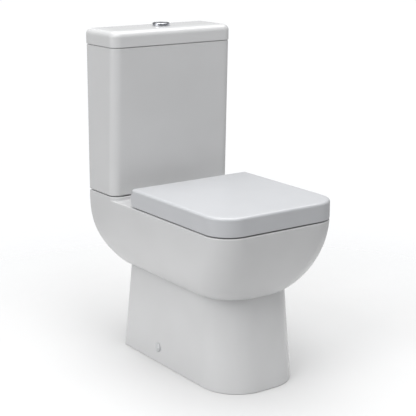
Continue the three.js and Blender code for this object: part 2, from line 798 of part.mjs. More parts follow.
function fillHead() {
  const cap = revolve([
    [0, fillTop + touch], [17, fillTop + touch], [18, fillTop + 2], [18, fillTop + 20],
    [15, fillTop + 26], [0, fillTop + 27],
  ]).translate([fillX, fillY, 0]);
  const ears = [-1, 1].map((side) => box(armPivotX - 5, fillX, fillY + side * 6 - 2, fillY + side * 6 + 2,
    armPivotZ - 6, armPivotZ + 6));
  return wasm.Manifold.union([cap, ...ears]);
}
addPart('fill_valve_head', fillHead(), 'greyPlastic');

// The arm and its float are built level, then hang at their resting angle.
const armGroup = new THREE.Group();
armGroup.position.set(armPivotX, fillY, armPivotZ);
armGroup.rotation.y = -THREE.MathUtils.degToRad(floatDrop);
toilet.add(armGroup);

const armEnd = -floatArm;
addPart('float_arm', wasm.Manifold.union([
  box(armEnd, 6, -armHalfWidth, armHalfWidth, -3, 3),
  disc(5, -armHalfWidth, armHalfWidth, 16).rotate([90, 0, 0]),
  box(armEnd - 4, armEnd + 4, -armHalfWidth, armHalfWidth, -12, 3),
]), 'greyPlastic', armGroup);

addPart('float', revolve([
  [0, -12 - touch], [floatRadius - 3, -12 - touch], [floatRadius, -15], [floatRadius, -9 - floatHeight],
  [floatRadius - 3, -12 - floatHeight], [0, -12 - floatHeight],
]).translate([armEnd, 0, 0]), 'bluePlastic', armGroup);

// ---- Lid and buttons -------------------------------------------------------------------------------------

function lid() {
  const edge = cisternShape(cisternTop);
  const shape = insetOutlineShape(edge, -lidOverhang);
  const arc = [0, 22, 45, 68, 90].map((degrees) => THREE.MathUtils.degToRad(degrees));
  const outside = loft([
    insetOutline(shape, 1.2, lidBase),
    insetOutline(shape, 0, lidBase + 1.2),
    ...arc.map((angle) => insetOutline(shape, lidRounding * (1 - Math.cos(angle)),
      lidTop - 1 - lidRounding * (1 - Math.sin(angle)))),
    insetOutline(shape, lidRounding + 24, lidTop),
  ]);
  const landing = insetOutlineShape(edge, 3);
  const bearing = loft([cisternTop + touch, lidBase + 2].map((z) => insetOutline(landing, 0, z)));
  const flange = insetOutlineShape(edge, ceramicWall + 2);
  const locating = loft([cisternTop - lidFlangeDrop, lidBase + 2].map((z) => insetOutline(flange, 0, z)));
  const hollow = insetOutlineShape(edge, ceramicWall + 2 + 7);
  const room = loft([cisternTop - lidFlangeDrop - 1,
    lidTop - lidPlate].map((z) => insetOutline(hollow, 0, z)));
  const hole = disc(bezelSleeveRadius + 1, lidBase, lidTop + 1, 28).translate([0, buttonY, 0]);
  return wasm.Manifold.union([outside, bearing, locating]).subtract(wasm.Manifold.union(room, hole));
}

// Sizes of an outline moved inwards by inset.
function insetOutlineShape(shape, inset) {
  return {
    half: shape.half - inset,
    front: shape.front + inset,
    back: shape.back - inset,
    frontRadius: Math.max(shape.frontRadius - inset, 1),
    backRadius: Math.max((shape.backRadius ?? shape.frontRadius) - inset, 1),
  };
}
addPart('cistern_lid', lid(), 'glaze');

const bezelBase = lidTop + touch;
const sleeveLow = lidTop - lidPlate - 16;
addPart('button_bezel', revolve([
  [bezelBore, sleeveLow], [bezelSleeveRadius, sleeveLow], [bezelSleeveRadius, bezelBase],
  [bezelRadius, bezelBase],
  [bezelRadius, bezelBase + 1.6], [bezelRadius - 1.4, bezelBase + bezelHeight - 1.4],
  [bezelRadius - 2.6, bezelBase + bezelHeight],
  [bezelBore + 0.6, bezelBase + bezelHeight - 0.4], [bezelBore, bezelBase + bezelHeight - 1.4],
], 36).translate([0, buttonY, 0]), 'chrome');

addPart('button_nut', hexagon(2 * bezelSleeveRadius + 11, lidTop - lidPlate - touch - 8,
  lidTop - lidPlate - touch)
  .subtract(disc(bezelSleeveRadius + touch, sleeveLow - 5, lidTop, 28)).translate([0, buttonY, 0]),
    'whitePlastic');

// The button disc is cut along buttonSplit. Each piece carries the rod that reaches down to its plunger.
function button(side, rodX) {
  const face = bezelBase + bezelHeight - 1.5;
  const skirt = face - 8;
  const whole = revolve([
    [0, skirt], [buttonRadius, skirt], [buttonRadius, face - 1], [buttonRadius - 1.2, face],
    [buttonRadius * 0.6, face + buttonCrown * 0.7],
    [0, face + buttonCrown],
  ], 36);
  const cut = side > 0
    ? box(buttonSplit + touch, buttonRadius + 1, -20, 20, skirt - 1, face + 10)
    : box(-buttonRadius - 1, buttonSplit - touch, -20, 20, skirt - 1, face + 10);
  const rod = disc(rodRadius, plungerTop + touch + 0.2, skirt + 1, 14).translate([rodX, 0, 0]);
  return wasm.Manifold.union(whole.intersect(cut), rod).translate([0, buttonY, 0]);
}
addPart('button_full', button(1, fullRodX), 'chrome');
addPart('button_half', button(-1, halfRodX), 'chrome');

// ---- Seat hinge ------------------------------------------------------------------------------------------

const postX = hingeSpacing / 2;
const seatKnuckle = [postX - postHalfWidth - 1.5 - 23, postX - postHalfWidth - 1.5];
const coverKnuckle = [postX + postHalfWidth + 1.5, postX + postHalfWidth + 1.5 + 22];
const hingeBaseTop = rimHeight + touch + 4.5;

// Block between two planes across X, mirrored for the left side.
function sideBlock(side, [x0, x1], y0, y1, z0, z1) {
  return side > 0 ? box(x0, x1, y0, y1, z0, z1) : box(-x1, -x0, y0, y1, z0, z1);
}

function onHinge(side, solid) {
  const placed = alongX(solid, hingeY, hingeZ);
  return side > 0 ? placed : placed.mirror([1, 0, 0]);
}

const studRadius = 5;
const studLow = deckUnder - 44;
addPair('hinge_base', (side) => revolve([
  [0, studLow], [studRadius, studLow], [studRadius, rimHeight + touch], [18.5, rimHeight + touch],
  [19, rimHeight + 1.4], [17.5, hingeBaseTop], [0, hingeBaseTop],
], 20).translate([side * postX, hingeY, 0]), 'chrome');

addPair('hinge_post', (side) => {
  const x = [postX - postHalfWidth, postX + postHalfWidth];
  const boss = onHinge(side, disc(knuckleRadius, x[0], x[1], 20));
  const stem = sideBlock(side, x, hingeY - 7.5, hingeY + 7.5, hingeBaseTop + touch, hingeZ);
  return wasm.Manifold.union(boss, stem).subtract(onHinge(side,
    disc(hingePinRadius + slack, x[0] - 1, x[1] + 1, 16)));
}, 'chrome');

addPair('hinge_pin', (side) => onHinge(side,
  disc(hingePinRadius, seatKnuckle[0] + 4, coverKnuckle[1] - 4, 16)), 'steel');

addPair('seat_bush', (side) => revolve([
  [studRadius + slack, deckUnder - 6], [12.5, deckUnder - 6], [12.5, deckUnder - touch],
  [7.6, deckUnder - touch],
  [7.6, deckUnder + 7], [studRadius + slack, deckUnder + 7],
], 20).translate([side * postX, hingeY, 0]), 'rubber');

addPair('seat_nut', (side) =>
  wingNut(studRadius + slack, 10, 13, 36, deckUnder - 6 - touch).translate([side * postX, hingeY, 0]),
    'whitePlastic');

// ---- Seat ------------------------------------------------------------------------------------------------

const bufferBack = seatBack - 30;
const bufferFront = frontY + 62;
const bufferSpots = [[-1, bufferFront, 'front_left'], [1, bufferFront, 'front_right'],
  [-1, bufferBack, 'back_left'], [1, bufferBack, 'back_right']];
const bufferX = panWidth / 2 - 30;
const bufferPlug = 4;

const seatShape = {
  half: panWidth / 2 - coverWall - seatGap,
  front: frontY + coverWall + seatGap,
  back: seatBack,
  frontRadius: rimCornerRadius - coverWall - seatGap,
  backRadius: 10,
};

function seat() {
  const edge = 6;
  const mouth = {
    half: seatMouthWidth / 2,
    front: seatShape.front + seatRing,
    back: seatBack - seatBackBar,
    frontRadius: 84,
    backRadius: 62,
  };
  const body = loft([
    insetOutline(seatShape, 1.5, coverBase),
    insetOutline(seatShape, 0, coverBase + 1.5),
    insetOutline(seatShape, 0, seatTop - edge),
    insetOutline(seatShape, edge * 0.3, seatTop - edge * 0.3),
    insetOutline(seatShape, edge, seatTop),
  ]);
  const opening = loft([
    insetOutline(mouth, 0, coverBase - 1),
    insetOutline(mouth, 0, seatTop - edge * 1.4),
    insetOutline(mouth, -edge * 0.5, seatTop - edge * 0.4),
    insetOutline(mouth, -edge * 1.4, seatTop + 0.01),
  ]);
  const knuckles = [-1, 1].flatMap((side) => [
    onHinge(side, disc(knuckleRadius, ...seatKnuckle, 20)),
    sideBlock(side, seatKnuckle, seatBack - 4, hingeY, hingeZ - 7, hingeZ + 6.5),
  ]);
  const pins = [-1, 1].map((side) => onHinge(side,
    disc(hingePinRadius + slack, seatKnuckle[0] + 3, seatKnuckle[1] + 1, 16)));
  const plugs = bufferSpots.map(([side, y]) =>
    disc(3 + touch, coverBase - 1, coverBase + bufferPlug + touch, 12).translate([side * bufferX, y, 0]));
  return wasm.Manifold.union([body.subtract(opening), ...knuckles])
    .subtract(wasm.Manifold.union([...pins, ...plugs]));
}
addPart('seat_ring', seat(), 'seatPlastic');

function seatBuffer(side, y) {
  const pad = disc(7.5, rimHeight + touch, coverBase - touch, 16).scale([1, 1.5, 1]);
  const plug = disc(3, rimHeight + 1, coverBase + bufferPlug, 12);
  return wasm.Manifold.union(pad, plug).translate([side * bufferX, y, 0]);
}
for (const [side, y, spot] of bufferSpots) {
  addPart(`seat_buffer_${spot}`, seatBuffer(side, y), 'rubber');
}

// ---- Cover -----------------------------------------------------------------------------------------------

const coverShape = {
  half: panWidth / 2,
  front: frontY,
  back: coverBack,
  frontRadius: rimCornerRadius,
  backRadius: coverBackRadius,
};

function cover() {
  const arc = [0, 30, 60, 90].map((degrees) => THREE.MathUtils.degToRad(degrees));
  const outside = loft([
    insetOutline(coverShape, 1, coverBase),
    insetOutline(coverShape, 0, coverBase + 1),
    ...arc.map((angle) => insetOutline(coverShape, coverEdge * (1 - Math.cos(angle)),
      coverTop - 1 - coverEdge * (1 - Math.sin(angle)))),
    insetOutline(coverShape, coverEdge + 40, coverTop),
  ]);
  const inside = loft([
    insetOutline(coverShape, coverWall, coverBase - 1),
    insetOutline(coverShape, coverWall, coverUnder - 3),
    insetOutline(coverShape, coverWall + 3, coverUnder),
  ]);
  const cutHalf = coverKnuckle[1] + 3;
  const hingeCut = box(-cutHalf, cutHalf, coverBack - coverWall - 6, coverBack + 1, coverBase - 1,
    hingeZ + knuckleRadius + 2.5);
  const knuckles = [-1, 1].flatMap((side) => [
    onHinge(side, disc(knuckleRadius, ...coverKnuckle, 20)),
    sideBlock(side, coverKnuckle, hingeY - 5, hingeY + 6, hingeZ, coverUnder + 1),
  ]);
  const pins = [-1, 1].map((side) =>
    onHinge(side, disc(hingePinRadius + slack, coverKnuckle[0] - 1, coverKnuckle[1] - 3, 16)));
  return wasm.Manifold.union([outside.subtract(wasm.Manifold.union(inside, hingeCut)), ...knuckles])
    .subtract(wasm.Manifold.union(pins));
}
addPart('seat_cover', cover(), 'seatPlastic');

function coverBuffer(side, y) {
  return revolve([
    [0, seatTop + touch], [6, seatTop + touch], [7.5, seatTop + 3], [9, coverUnder - touch],
    [0, coverUnder - touch],
  ], 16).translate([side * bufferX, y, 0]);
}
addPair('cover_buffer', (side) => coverBuffer(side, bufferFront), 'rubber');

export default toilet;
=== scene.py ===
import json
import math

import bpy
import numpy as np
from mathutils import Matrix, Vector


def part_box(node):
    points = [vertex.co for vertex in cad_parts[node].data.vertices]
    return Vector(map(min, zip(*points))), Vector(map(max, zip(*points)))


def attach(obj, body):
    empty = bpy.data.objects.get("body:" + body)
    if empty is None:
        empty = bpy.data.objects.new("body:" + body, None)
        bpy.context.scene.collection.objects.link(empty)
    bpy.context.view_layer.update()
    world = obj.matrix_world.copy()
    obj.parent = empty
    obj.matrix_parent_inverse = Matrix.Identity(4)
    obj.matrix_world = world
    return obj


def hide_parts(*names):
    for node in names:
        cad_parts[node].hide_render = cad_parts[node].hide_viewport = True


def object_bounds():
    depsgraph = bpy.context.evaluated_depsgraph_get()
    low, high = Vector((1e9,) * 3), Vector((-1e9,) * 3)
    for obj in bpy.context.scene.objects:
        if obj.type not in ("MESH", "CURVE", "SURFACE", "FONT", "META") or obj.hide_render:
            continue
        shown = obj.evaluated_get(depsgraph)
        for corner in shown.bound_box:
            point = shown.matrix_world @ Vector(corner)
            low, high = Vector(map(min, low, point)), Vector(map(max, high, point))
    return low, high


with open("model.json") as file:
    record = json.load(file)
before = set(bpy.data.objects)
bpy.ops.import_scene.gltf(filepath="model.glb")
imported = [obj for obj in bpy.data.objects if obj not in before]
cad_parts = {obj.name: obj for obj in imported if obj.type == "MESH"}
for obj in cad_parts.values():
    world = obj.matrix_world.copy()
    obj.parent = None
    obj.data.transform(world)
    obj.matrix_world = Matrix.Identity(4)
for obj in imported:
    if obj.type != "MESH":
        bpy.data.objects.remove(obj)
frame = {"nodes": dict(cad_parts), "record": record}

# Close coupled toilet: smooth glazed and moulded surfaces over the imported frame. Metres, -Y is the front.
cadLow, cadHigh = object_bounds()
mm = 0.001
nodes = frame["nodes"]


def boxOf(node):
    low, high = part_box(node)
    return np.array(low), np.array(high)


panLow, panHigh = boxOf("pan")
tankLow, tankHigh = boxOf("cistern")
lidLow, lidHigh = boxOf("cistern_lid")
coverLow, coverHigh = boxOf("seat_cover")
seatLow, _ = boxOf("seat_ring")
bezelLow, bezelHigh = boxOf("button_bezel")
print("frame loaded:", len(nodes), "nodes")

# Surfaces: closed skins built from stacked outlines.

outlineDetail = {"cornerSteps": 22, "sideSteps": 9, "holdShare": 0.012}


def roundedRings(half, front, back, frontRadius, backRadius, z=0.0):
    # Rounded rectangles, one for each level: corner centre + radius * (cos a, sin a) round the four corners,
    # counter-clockwise from the front right, with straight runs between them split near both their ends.
    values = np.broadcast_arrays(*[np.atleast_1d(np.asarray(v, float))
                                   for v in (half, front, back, frontRadius, backRadius, z)])
    half, front, back, frontRadius, backRadius, z = [v[:, None] for v in values]
    room = np.minimum(half, (back - front) / 2) * 0.999
    rf, rb = np.minimum(frontRadius, room), np.minimum(backRadius, room)
    turn = np.radians(np.linspace(0, 90, outlineDetail["cornerSteps"] + 1))[None, :]
    corners = [(half - rf, front + rf, rf, -90), (half - rb, back - rb, rb, 0),
               (-half + rb, back - rb, rb, 90), (-half + rf, front + rf, rf, 180)]
    arcs = [np.stack([cx + r * np.cos(turn + math.radians(a)), cy + r * np.sin(turn + math.radians(a))], -1)
            for cx, cy, r, a in corners]
    hold = outlineDetail["holdShare"]
    share = np.linspace(0, 1, outlineDetail["sideSteps"] + 1)[1:-1]
    share = np.concatenate([[hold], share, [1 - hold]])[None, :, None]
    spans = []
    for k in range(4):
        a, b = arcs[k][:, -1:, :], arcs[(k + 1) % 4][:, :1, :]
        spans += [arcs[k], a + (b - a) * share]
    xy = np.concatenate(spans, 1)
    return np.concatenate([xy, np.broadcast_to(z[:, :, None], xy.shape[:2] + (1,))], -1)


def insetRings(shape, inset, z):
    # The outline of `shape` at each level, moved in by inset, its corner radii reduced by as much.
    inset, z = np.asarray(inset, float), np.asarray(z, float)
    values = shape(z) if callable(shape) else shape
    least = 0.4 * mm
    return roundedRings(values["half"] - inset, values["front"] + inset, values["back"] - inset,
                        np.maximum(values["frontRadius"] - inset, least),
                        np.maximum(values["backRadius"] - inset, least), z)


def arcOf(inset, z, radius, start, end, steps=8):
    # Quarter or part circle in the (inset, z) plane: centre + radius * (cos a, sin a).
    a = np.radians(np.linspace(start, end, steps + 1))
    return np.stack([inset + radius * np.cos(a), z + radius * np.sin(a)], 1)


def profileOf(*runs, hold=0.5 * mm):
    # Joins runs of (inset, z) points and adds a point near each end of every long straight, so that a
    # flat face keeps its own shading right up to its rounded edge.
    points = np.concatenate([np.atleast_2d(np.asarray(r, float)) for r in runs])
    out = [points[0]]
    for a, b in zip(points[:-1], points[1:]):
        length = np.hypot(*(b - a))
        if length < 1e-7:
            continue
        if length > 6 * hold:
            out += [a + (b - a) * hold / length, b - (b - a) * hold / length]
        out.append(b)
    return np.array(out)


def gridFaces(levels, count, closedV=False):
    # Quads between neighbours of a grid of levels x count points, each level a closed loop.
    rows = np.arange(levels if closedV else levels - 1)
    j, i = np.meshgrid(rows, np.arange(count), indexing="ij")
    a = j * count + i
    b = j * count + (i + 1) % count
    up = ((j + 1) % levels) * count
    return np.stack([a, b, up + (i + 1) % count, up + i], -1).reshape(-1, 4)


def ringSurface(rings, lowPole=None, highPole=None, closedV=False):
    # One closed skin over a stack of rings, with a pole point at either end or joined end to end.
    levels, count = rings.shape[:2]
    points = [rings.reshape(-1, 3)]
    faces = [gridFaces(levels, count, closedV)]
    i = np.arange(count)
    total = levels * count
    if lowPole is not None:
        points.append(np.array([lowPole], float))
        faces.append(np.stack([np.full(count, total), (i + 1) % count, i], -1))
        total += 1
    if highPole is not None:
        points.append(np.array([highPole], float))
        top = (levels - 1) * count
        faces.append(np.stack([np.full(count, total), top + i, top + (i + 1) % count], -1))
    return np.concatenate(points), faces


def turned(profile, middle, axis="z", steps=96):
    # A profile of (radius, height) carried round an axis: (r cos u, r sin u, h), closed at both poles.
    u = np.linspace(0, 2 * np.pi, steps, endpoint=False)
    profile = np.asarray(profile, float)
    r, h = profile[:, :1], np.repeat(profile[:, 1:], steps, 1)
    rings = np.stack([r * np.cos(u), r * np.sin(u), h], -1)
    closed = profile[0, 0] > 1e-9
    points, faces = ringSurface(rings if closed else rings[1:-1],
                                None if closed else (0, 0, profile[0, 1]),
                                None if closed else (0, 0, profile[-1, 1]), closedV=closed)
    if axis == "x":
        points = points[:, [2, 0, 1]]
    if axis == "-x":
        points = points[:, [2, 1, 0]] * [-1, 1, 1]
    return points + np.asarray(middle, float), faces


def makePiece(name, surfaces, body, material, replaced=(), sharp=38):
    # Puts one or more closed surfaces into one mesh, smooth except at edges sharper than `sharp` degrees.
    if isinstance(surfaces, tuple):
        surfaces = [surfaces]
    points, faces, first = [], [], 0
    for skin, groups in surfaces:
        points.append(skin)
        for group in groups:
            faces += (group + first).tolist()
        first += len(skin)
    mesh = bpy.data.meshes.new(name)
    mesh.from_pydata(np.concatenate(points).tolist(), [], faces)
    mesh.update()
    mesh.shade_smooth()
    mesh.set_sharp_from_angle(angle=math.radians(sharp))
    mesh.materials.append(material)
    piece = bpy.data.objects.new(name, mesh)
    bpy.context.scene.collection.objects.link(piece)
    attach(piece, body)
    if replaced:
        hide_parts(*replaced)
    return piece


def mix(a, b, t):
    # a at t = 0, b at t = 1.
    return a + (b - a) * t


# Finishes: one material for each slot of the record.

finishSizes = {
    "glaze": {"colour": (0.600, 0.602, 0.606), "roughness": 0.27, "coat": 0.22,
              "waveScale": 9.0, "wave": 0.015, "grain": 0.02, "bump": 0.03},
    "seat_plastic": {"colour": (0.520, 0.528, 0.545), "roughness": 0.3, "coat": 0.15,
                     "waveScale": 14.0, "wave": 0.012, "grain": 0.03, "bump": 0.03},
    "chrome": {"colour": (0.50, 0.51, 0.54), "roughness": 0.07, "metal": 1.0,
               "waveScale": 60.0, "wave": 0.01, "grain": 0.03, "bump": 0.01},
    "steel": {"colour": (0.46, 0.47, 0.48), "roughness": 0.34, "metal": 1.0,
              "waveScale": 300.0, "wave": 0.06, "grain": 0.15, "bump": 0.1},
    "white_plastic": {"colour": (0.56, 0.565, 0.575), "roughness": 0.3, "waveScale": 260.0,
                      "wave": 0.05, "grain": 0.1, "bump": 0.08},
    "blue_plastic": {"colour": (0.08, 0.22, 0.38), "roughness": 0.45, "waveScale": 260.0,
                     "wave": 0.05, "grain": 0.1, "bump": 0.08},
    "grey_plastic": {"colour": (0.26, 0.28, 0.30), "roughness": 0.48, "waveScale": 260.0,
                     "wave": 0.05, "grain": 0.1, "bump": 0.08},
    "rubber": {"colour": (0.025, 0.026, 0.028), "roughness": 0.82, "waveScale": 420.0,
               "wave": 0.12, "grain": 0.1, "bump": 0.2},
}


shaderSizes = {"bumpDepth": 0.4 * mm, "fineShare": 22, "ior": 1.5, "coatRoughness": 0.12}


def makeFinish(name, facts):
    # Broad and fine noise on object coordinates vary the colour and the roughness a little, and a weak
    # bump gives glaze its slow waviness and plastic, steel and rubber their fine grain.
    material = bpy.data.materials.new(name)
    material.use_nodes = True
    tree = material.node_tree
    shader = tree.nodes["Principled BSDF"]
    place = tree.nodes.new("ShaderNodeTexCoord")
    broad = tree.nodes.new("ShaderNodeTexNoise")
    fine = tree.nodes.new("ShaderNodeTexNoise")
    broad.inputs["Scale"].default_value = facts["waveScale"]
    broad.inputs["Detail"].default_value = 1
    fine.inputs["Scale"].default_value = facts["waveScale"] * shaderSizes["fineShare"]
    fine.inputs["Detail"].default_value = 5
    tree.links.new(place.outputs["Object"], broad.inputs["Vector"])
    tree.links.new(place.outputs["Object"], fine.inputs["Vector"])
    tint = tree.nodes.new("ShaderNodeValToRGB")
    base = np.array(facts["colour"])
    tint.color_ramp.elements[0].position, tint.color_ramp.elements[1].position = 0.3, 0.7
    tint.color_ramp.elements[0].color = (*(base * (1 - facts["wave"])), 1)
    tint.color_ramp.elements[1].color = (*np.minimum(base * (1 + facts["wave"]), 1), 1)
    tree.links.new(broad.outputs["Fac"], tint.inputs["Fac"])
    tree.links.new(tint.outputs["Color"], shader.inputs["Base Color"])
    rough = tree.nodes.new("ShaderNodeMapRange")
    rough.inputs["To Min"].default_value = facts["roughness"] * (1 - facts["grain"])
    rough.inputs["To Max"].default_value = facts["roughness"] * (1 + facts["grain"])
    tree.links.new(fine.outputs["Fac"], rough.inputs["Value"])
    tree.links.new(rough.outputs["Result"], shader.inputs["Roughness"])
    bump = tree.nodes.new("ShaderNodeBump")
    bump.inputs["Strength"].default_value = facts["bump"]
    bump.inputs["Distance"].default_value = shaderSizes["bumpDepth"]
    tree.links.new(broad.outputs["Fac"], bump.inputs["Height"])
    tree.links.new(bump.outputs["Normal"], shader.inputs["Normal"])
    shader.inputs["Metallic"].default_value = facts.get("metal", 0.0)
    shader.inputs["IOR"].default_value = shaderSizes["ior"]
    shader.inputs["Coat Weight"].default_value = facts.get("coat", 0.0)
    shader.inputs["Coat Roughness"].default_value = shaderSizes["coatRoughness"]
    return material


finishes = {name: makeFinish(name, facts) for name, facts in finishSizes.items()}
slotOf = {row["node"]: row["material_slot"] for row in frame["record"]["subparts"]}
for name, node in nodes.items():
    finish = finishes.get(slotOf.get(name), finishes["white_plastic"])
    if not node.data.materials:
        node.data.materials.append(finish)
    for k in range(len(node.material_slots)):
        node.material_slots[k].material = finish
print("finishes:", ", ".join(finishes))

# Pan: wall, deck with the bowl's mouth, bowl and trap, and the plinth under the cistern.

panSizes = {
    "rimCorner": 65 * mm, "backCorner": 3 * mm, "rimEdge": 3 * mm, "wall": 9 * mm,
    "crease": 229 * mm, "creaseHalf": 114 * mm, "creaseFrontBack": 73.4 * mm, "creaseBack": 98 * mm,
    "creaseCorner": 95 * mm, "footHalf": 120.2 * mm, "footFront": 50.5 * mm, "footBack": 67.7 * mm,
    "footCorner": 99 * mm, "footLip": 16 * mm, "footLipHeight": 12 * mm, "footEdge": 1.6 * mm,
    "sideCurve": (2.31, 1.7), "frontCurve": (2.05, 1.1), "backCurve": (3.4, 0.8),
    "rimThickness": 11.5 * mm, "plinthHeight": 8.5 * mm, "plinthFront": 167.6 * mm, "plinthCorner": 23 * mm,
    "flare": 3.6 * mm, "flareStart": 30 * mm, "flareEnd": 280 * mm, "backReach": 2.3 * mm,
}
rimZ = panHigh[2] - panSizes["plinthHeight"]
deckUnder = rimZ - panSizes["rimThickness"]
panHalf, panFront, panBack = panHigh[0], panLow[1], panHigh[1] + panSizes["backReach"]
wallBack = cadHigh[1]


def panShape(z):
    # Pan's outside at a height. Above the crease the outline runs from the rim to the crease by
    # 1 - (1 - s^p)^(1/q), s being the share of the way down; below it everything is linear to the foot.
    s = np.clip((rimZ - z) / (rimZ - panSizes["crease"]), 0, 1)
    t = np.clip(z / panSizes["crease"], 0, 1)
    above = z > panSizes["crease"]

    def drawn(curve):
        return 1 - (1 - s ** curve[0]) ** (1 / curve[1])

    def level(rim, crease, foot, share):
        return np.where(above, mix(rim, crease, share), mix(foot, crease, t))

    return {
        "half": level(panHalf, panSizes["creaseHalf"], panSizes["footHalf"], drawn(panSizes["sideCurve"])),
        "front": level(panFront, panFront + panSizes["creaseFrontBack"], panFront + panSizes["footFront"],
                       drawn(panSizes["frontCurve"])),
        "back": level(panBack, wallBack - panSizes["creaseBack"], wallBack - panSizes["footBack"],
                      drawn(panSizes["backCurve"])),
        "frontRadius": level(panSizes["rimCorner"], panSizes["creaseCorner"], panSizes["footCorner"], s),
        "backRadius": np.full_like(z, panSizes["backCorner"]),
    }


def flared(points):
    # Widens the pan towards the wall: x grows by flare * (3 u^2 - 2 u^3) * share of the half width, u running
    # from the hinges to the wall, and fades with the height down to the crease.
    s = panSizes
    points = np.array(points, float)
    u = np.clip((points[..., 1] - s["flareStart"]) / (s["flareEnd"] - s["flareStart"]), 0, 1)
    up = np.clip((points[..., 2] - s["crease"]) / (rimZ - s["crease"]), 0, 1)
    points[..., 0] *= 1 + s["flare"] / panHalf * u * u * (3 - 2 * u) * up * (2 - up)
    return points


def openRings(rings):
    # The same rings cut open along the back run: from the back left corner round the front to the back right.
    corner, side = outlineDetail["cornerSteps"] + 1, outlineDetail["sideSteps"] + 1
    backEnd = 2 * corner + side
    return np.concatenate([rings[:, backEnd + side:], rings[:, :backEnd]], 1)


def panWall():
    # U-shaped wall: outside path forwards and inside path back again make one closed loop at each level.
    s = panSizes
    foot = arcOf(s["footEdge"], s["footEdge"], s["footEdge"], 270, 180, 5)
    footLevels = foot[:, 1]
    bowl = rimZ - (rimZ - s["crease"]) * np.cos(np.linspace(0, np.pi / 2, 64))
    bowl = np.sort(bowl)
    bowl = bowl[(bowl > s["crease"] + 0.4 * mm) & (bowl < rimZ - s["rimEdge"] - 0.2 * mm)]
    pedestal = np.concatenate([[s["footEdge"] + 0.5 * mm, s["footLipHeight"], s["footLipHeight"] + 4 * mm],
                               np.linspace(30 * mm, s["crease"] - 0.6 * mm, 14),
                               [s["crease"], s["crease"] + 0.3 * mm]])
    edge = arcOf(s["rimEdge"], rimZ - s["rimEdge"], s["rimEdge"], 180, 90, 8)
    inset = np.concatenate([foot[:, 0], pedestal * 0, bowl * 0, edge[:, 0]])
    z = np.concatenate([footLevels, pedestal, bowl, edge[:, 1]])
    outside = openRings(insetRings(panShape, inset, z))
    lipShare = np.clip((z - s["footLipHeight"]) / (4 * mm), 0, 1)
    thickness = mix(s["footLip"], s["wall"], lipShare)
    shape = panShape(z)
    shape = {**shape, "back": shape["back"] + thickness, "backRadius": thickness + 0.5 * mm}
    inside = openRings(insetRings(shape, thickness, z))[:, ::-1]
    rings = np.concatenate([outside, inside], 1)
    levels, count = rings.shape[:2]
    k = outside.shape[1]
    i = np.arange(k - 1)
    base = np.stack([i, 2 * k - 1 - i, 2 * k - 2 - i, i + 1], -1)
    top = (levels - 1) * count
    cap = np.stack([top + i, top + i + 1, top + 2 * k - 2 - i, top + 2 * k - 1 - i], -1)
    return flared(rings.reshape(-1, 3)), [gridFaces(levels, count), base, cap]


mouthSizes = {"half": 126 * mm, "ledge": 46 * mm, "back": 25 * mm, "frontRadius": 74 * mm,
              "backRadius": 60 * mm, "edge": 4 * mm, "drop": 43 * mm, "lip": 9 * mm, "lipEdge": 3 * mm}
mouthShape = {"half": mouthSizes["half"], "front": panFront + mouthSizes["ledge"], "back": mouthSizes["back"],
              "frontRadius": mouthSizes["frontRadius"], "backRadius": mouthSizes["backRadius"]}


def panDeck():
    # Rim and deck: a profile from the wall over the deck, down the lip of the mouth and back underneath.
    s, m = panSizes, mouthSizes
    deck = {"half": panHalf, "front": panFront, "back": panBack + s["wall"], "frontRadius": s["rimCorner"],
            "backRadius": s["wall"] + 0.5 * mm}
    outer = insetRings(deck, np.array([s["wall"], s["wall"]]), np.array([deckUnder, rimZ]))
    low = rimZ - m["drop"]
    lip = profileOf(
        arcOf(0 - m["edge"], rimZ - m["edge"], m["edge"], 90, 0, 8),
        arcOf(0 - m["lipEdge"], low + m["lipEdge"], m["lipEdge"], 0, -90, 6),
        arcOf(m["lipEdge"] - m["lip"], low + m["lipEdge"], m["lipEdge"], -90, -180, 6),
        [[0 - m["lip"], deckUnder]])
    rings = np.concatenate([outer, insetRings(mouthShape, lip[:, 0], lip[:, 1])])
    points, faces = ringSurface(rings, closedV=True)
    return flared(points), faces


bowlSizes = {"roomInset": 12 * mm, "roomBack": 43 * mm, "backRadius": 60 * mm, "throat": 29 * mm,
             "throatY": -18 * mm, "throatZ": 172 * mm, "wall": 5 * mm}
trapSizes = {"bore": 28 * mm, "wall": 8 * mm, "bend": 42 * mm, "climb": 70, "fall": 50, "crestZ": 236 * mm,
             "lowZ": 128 * mm, "axisZ": 182 * mm, "spigotStart": 204.6 * mm, "spigotEnd": 262.6 * mm,
             "spigotBore": 41 * mm, "spigotOut": 51 * mm}


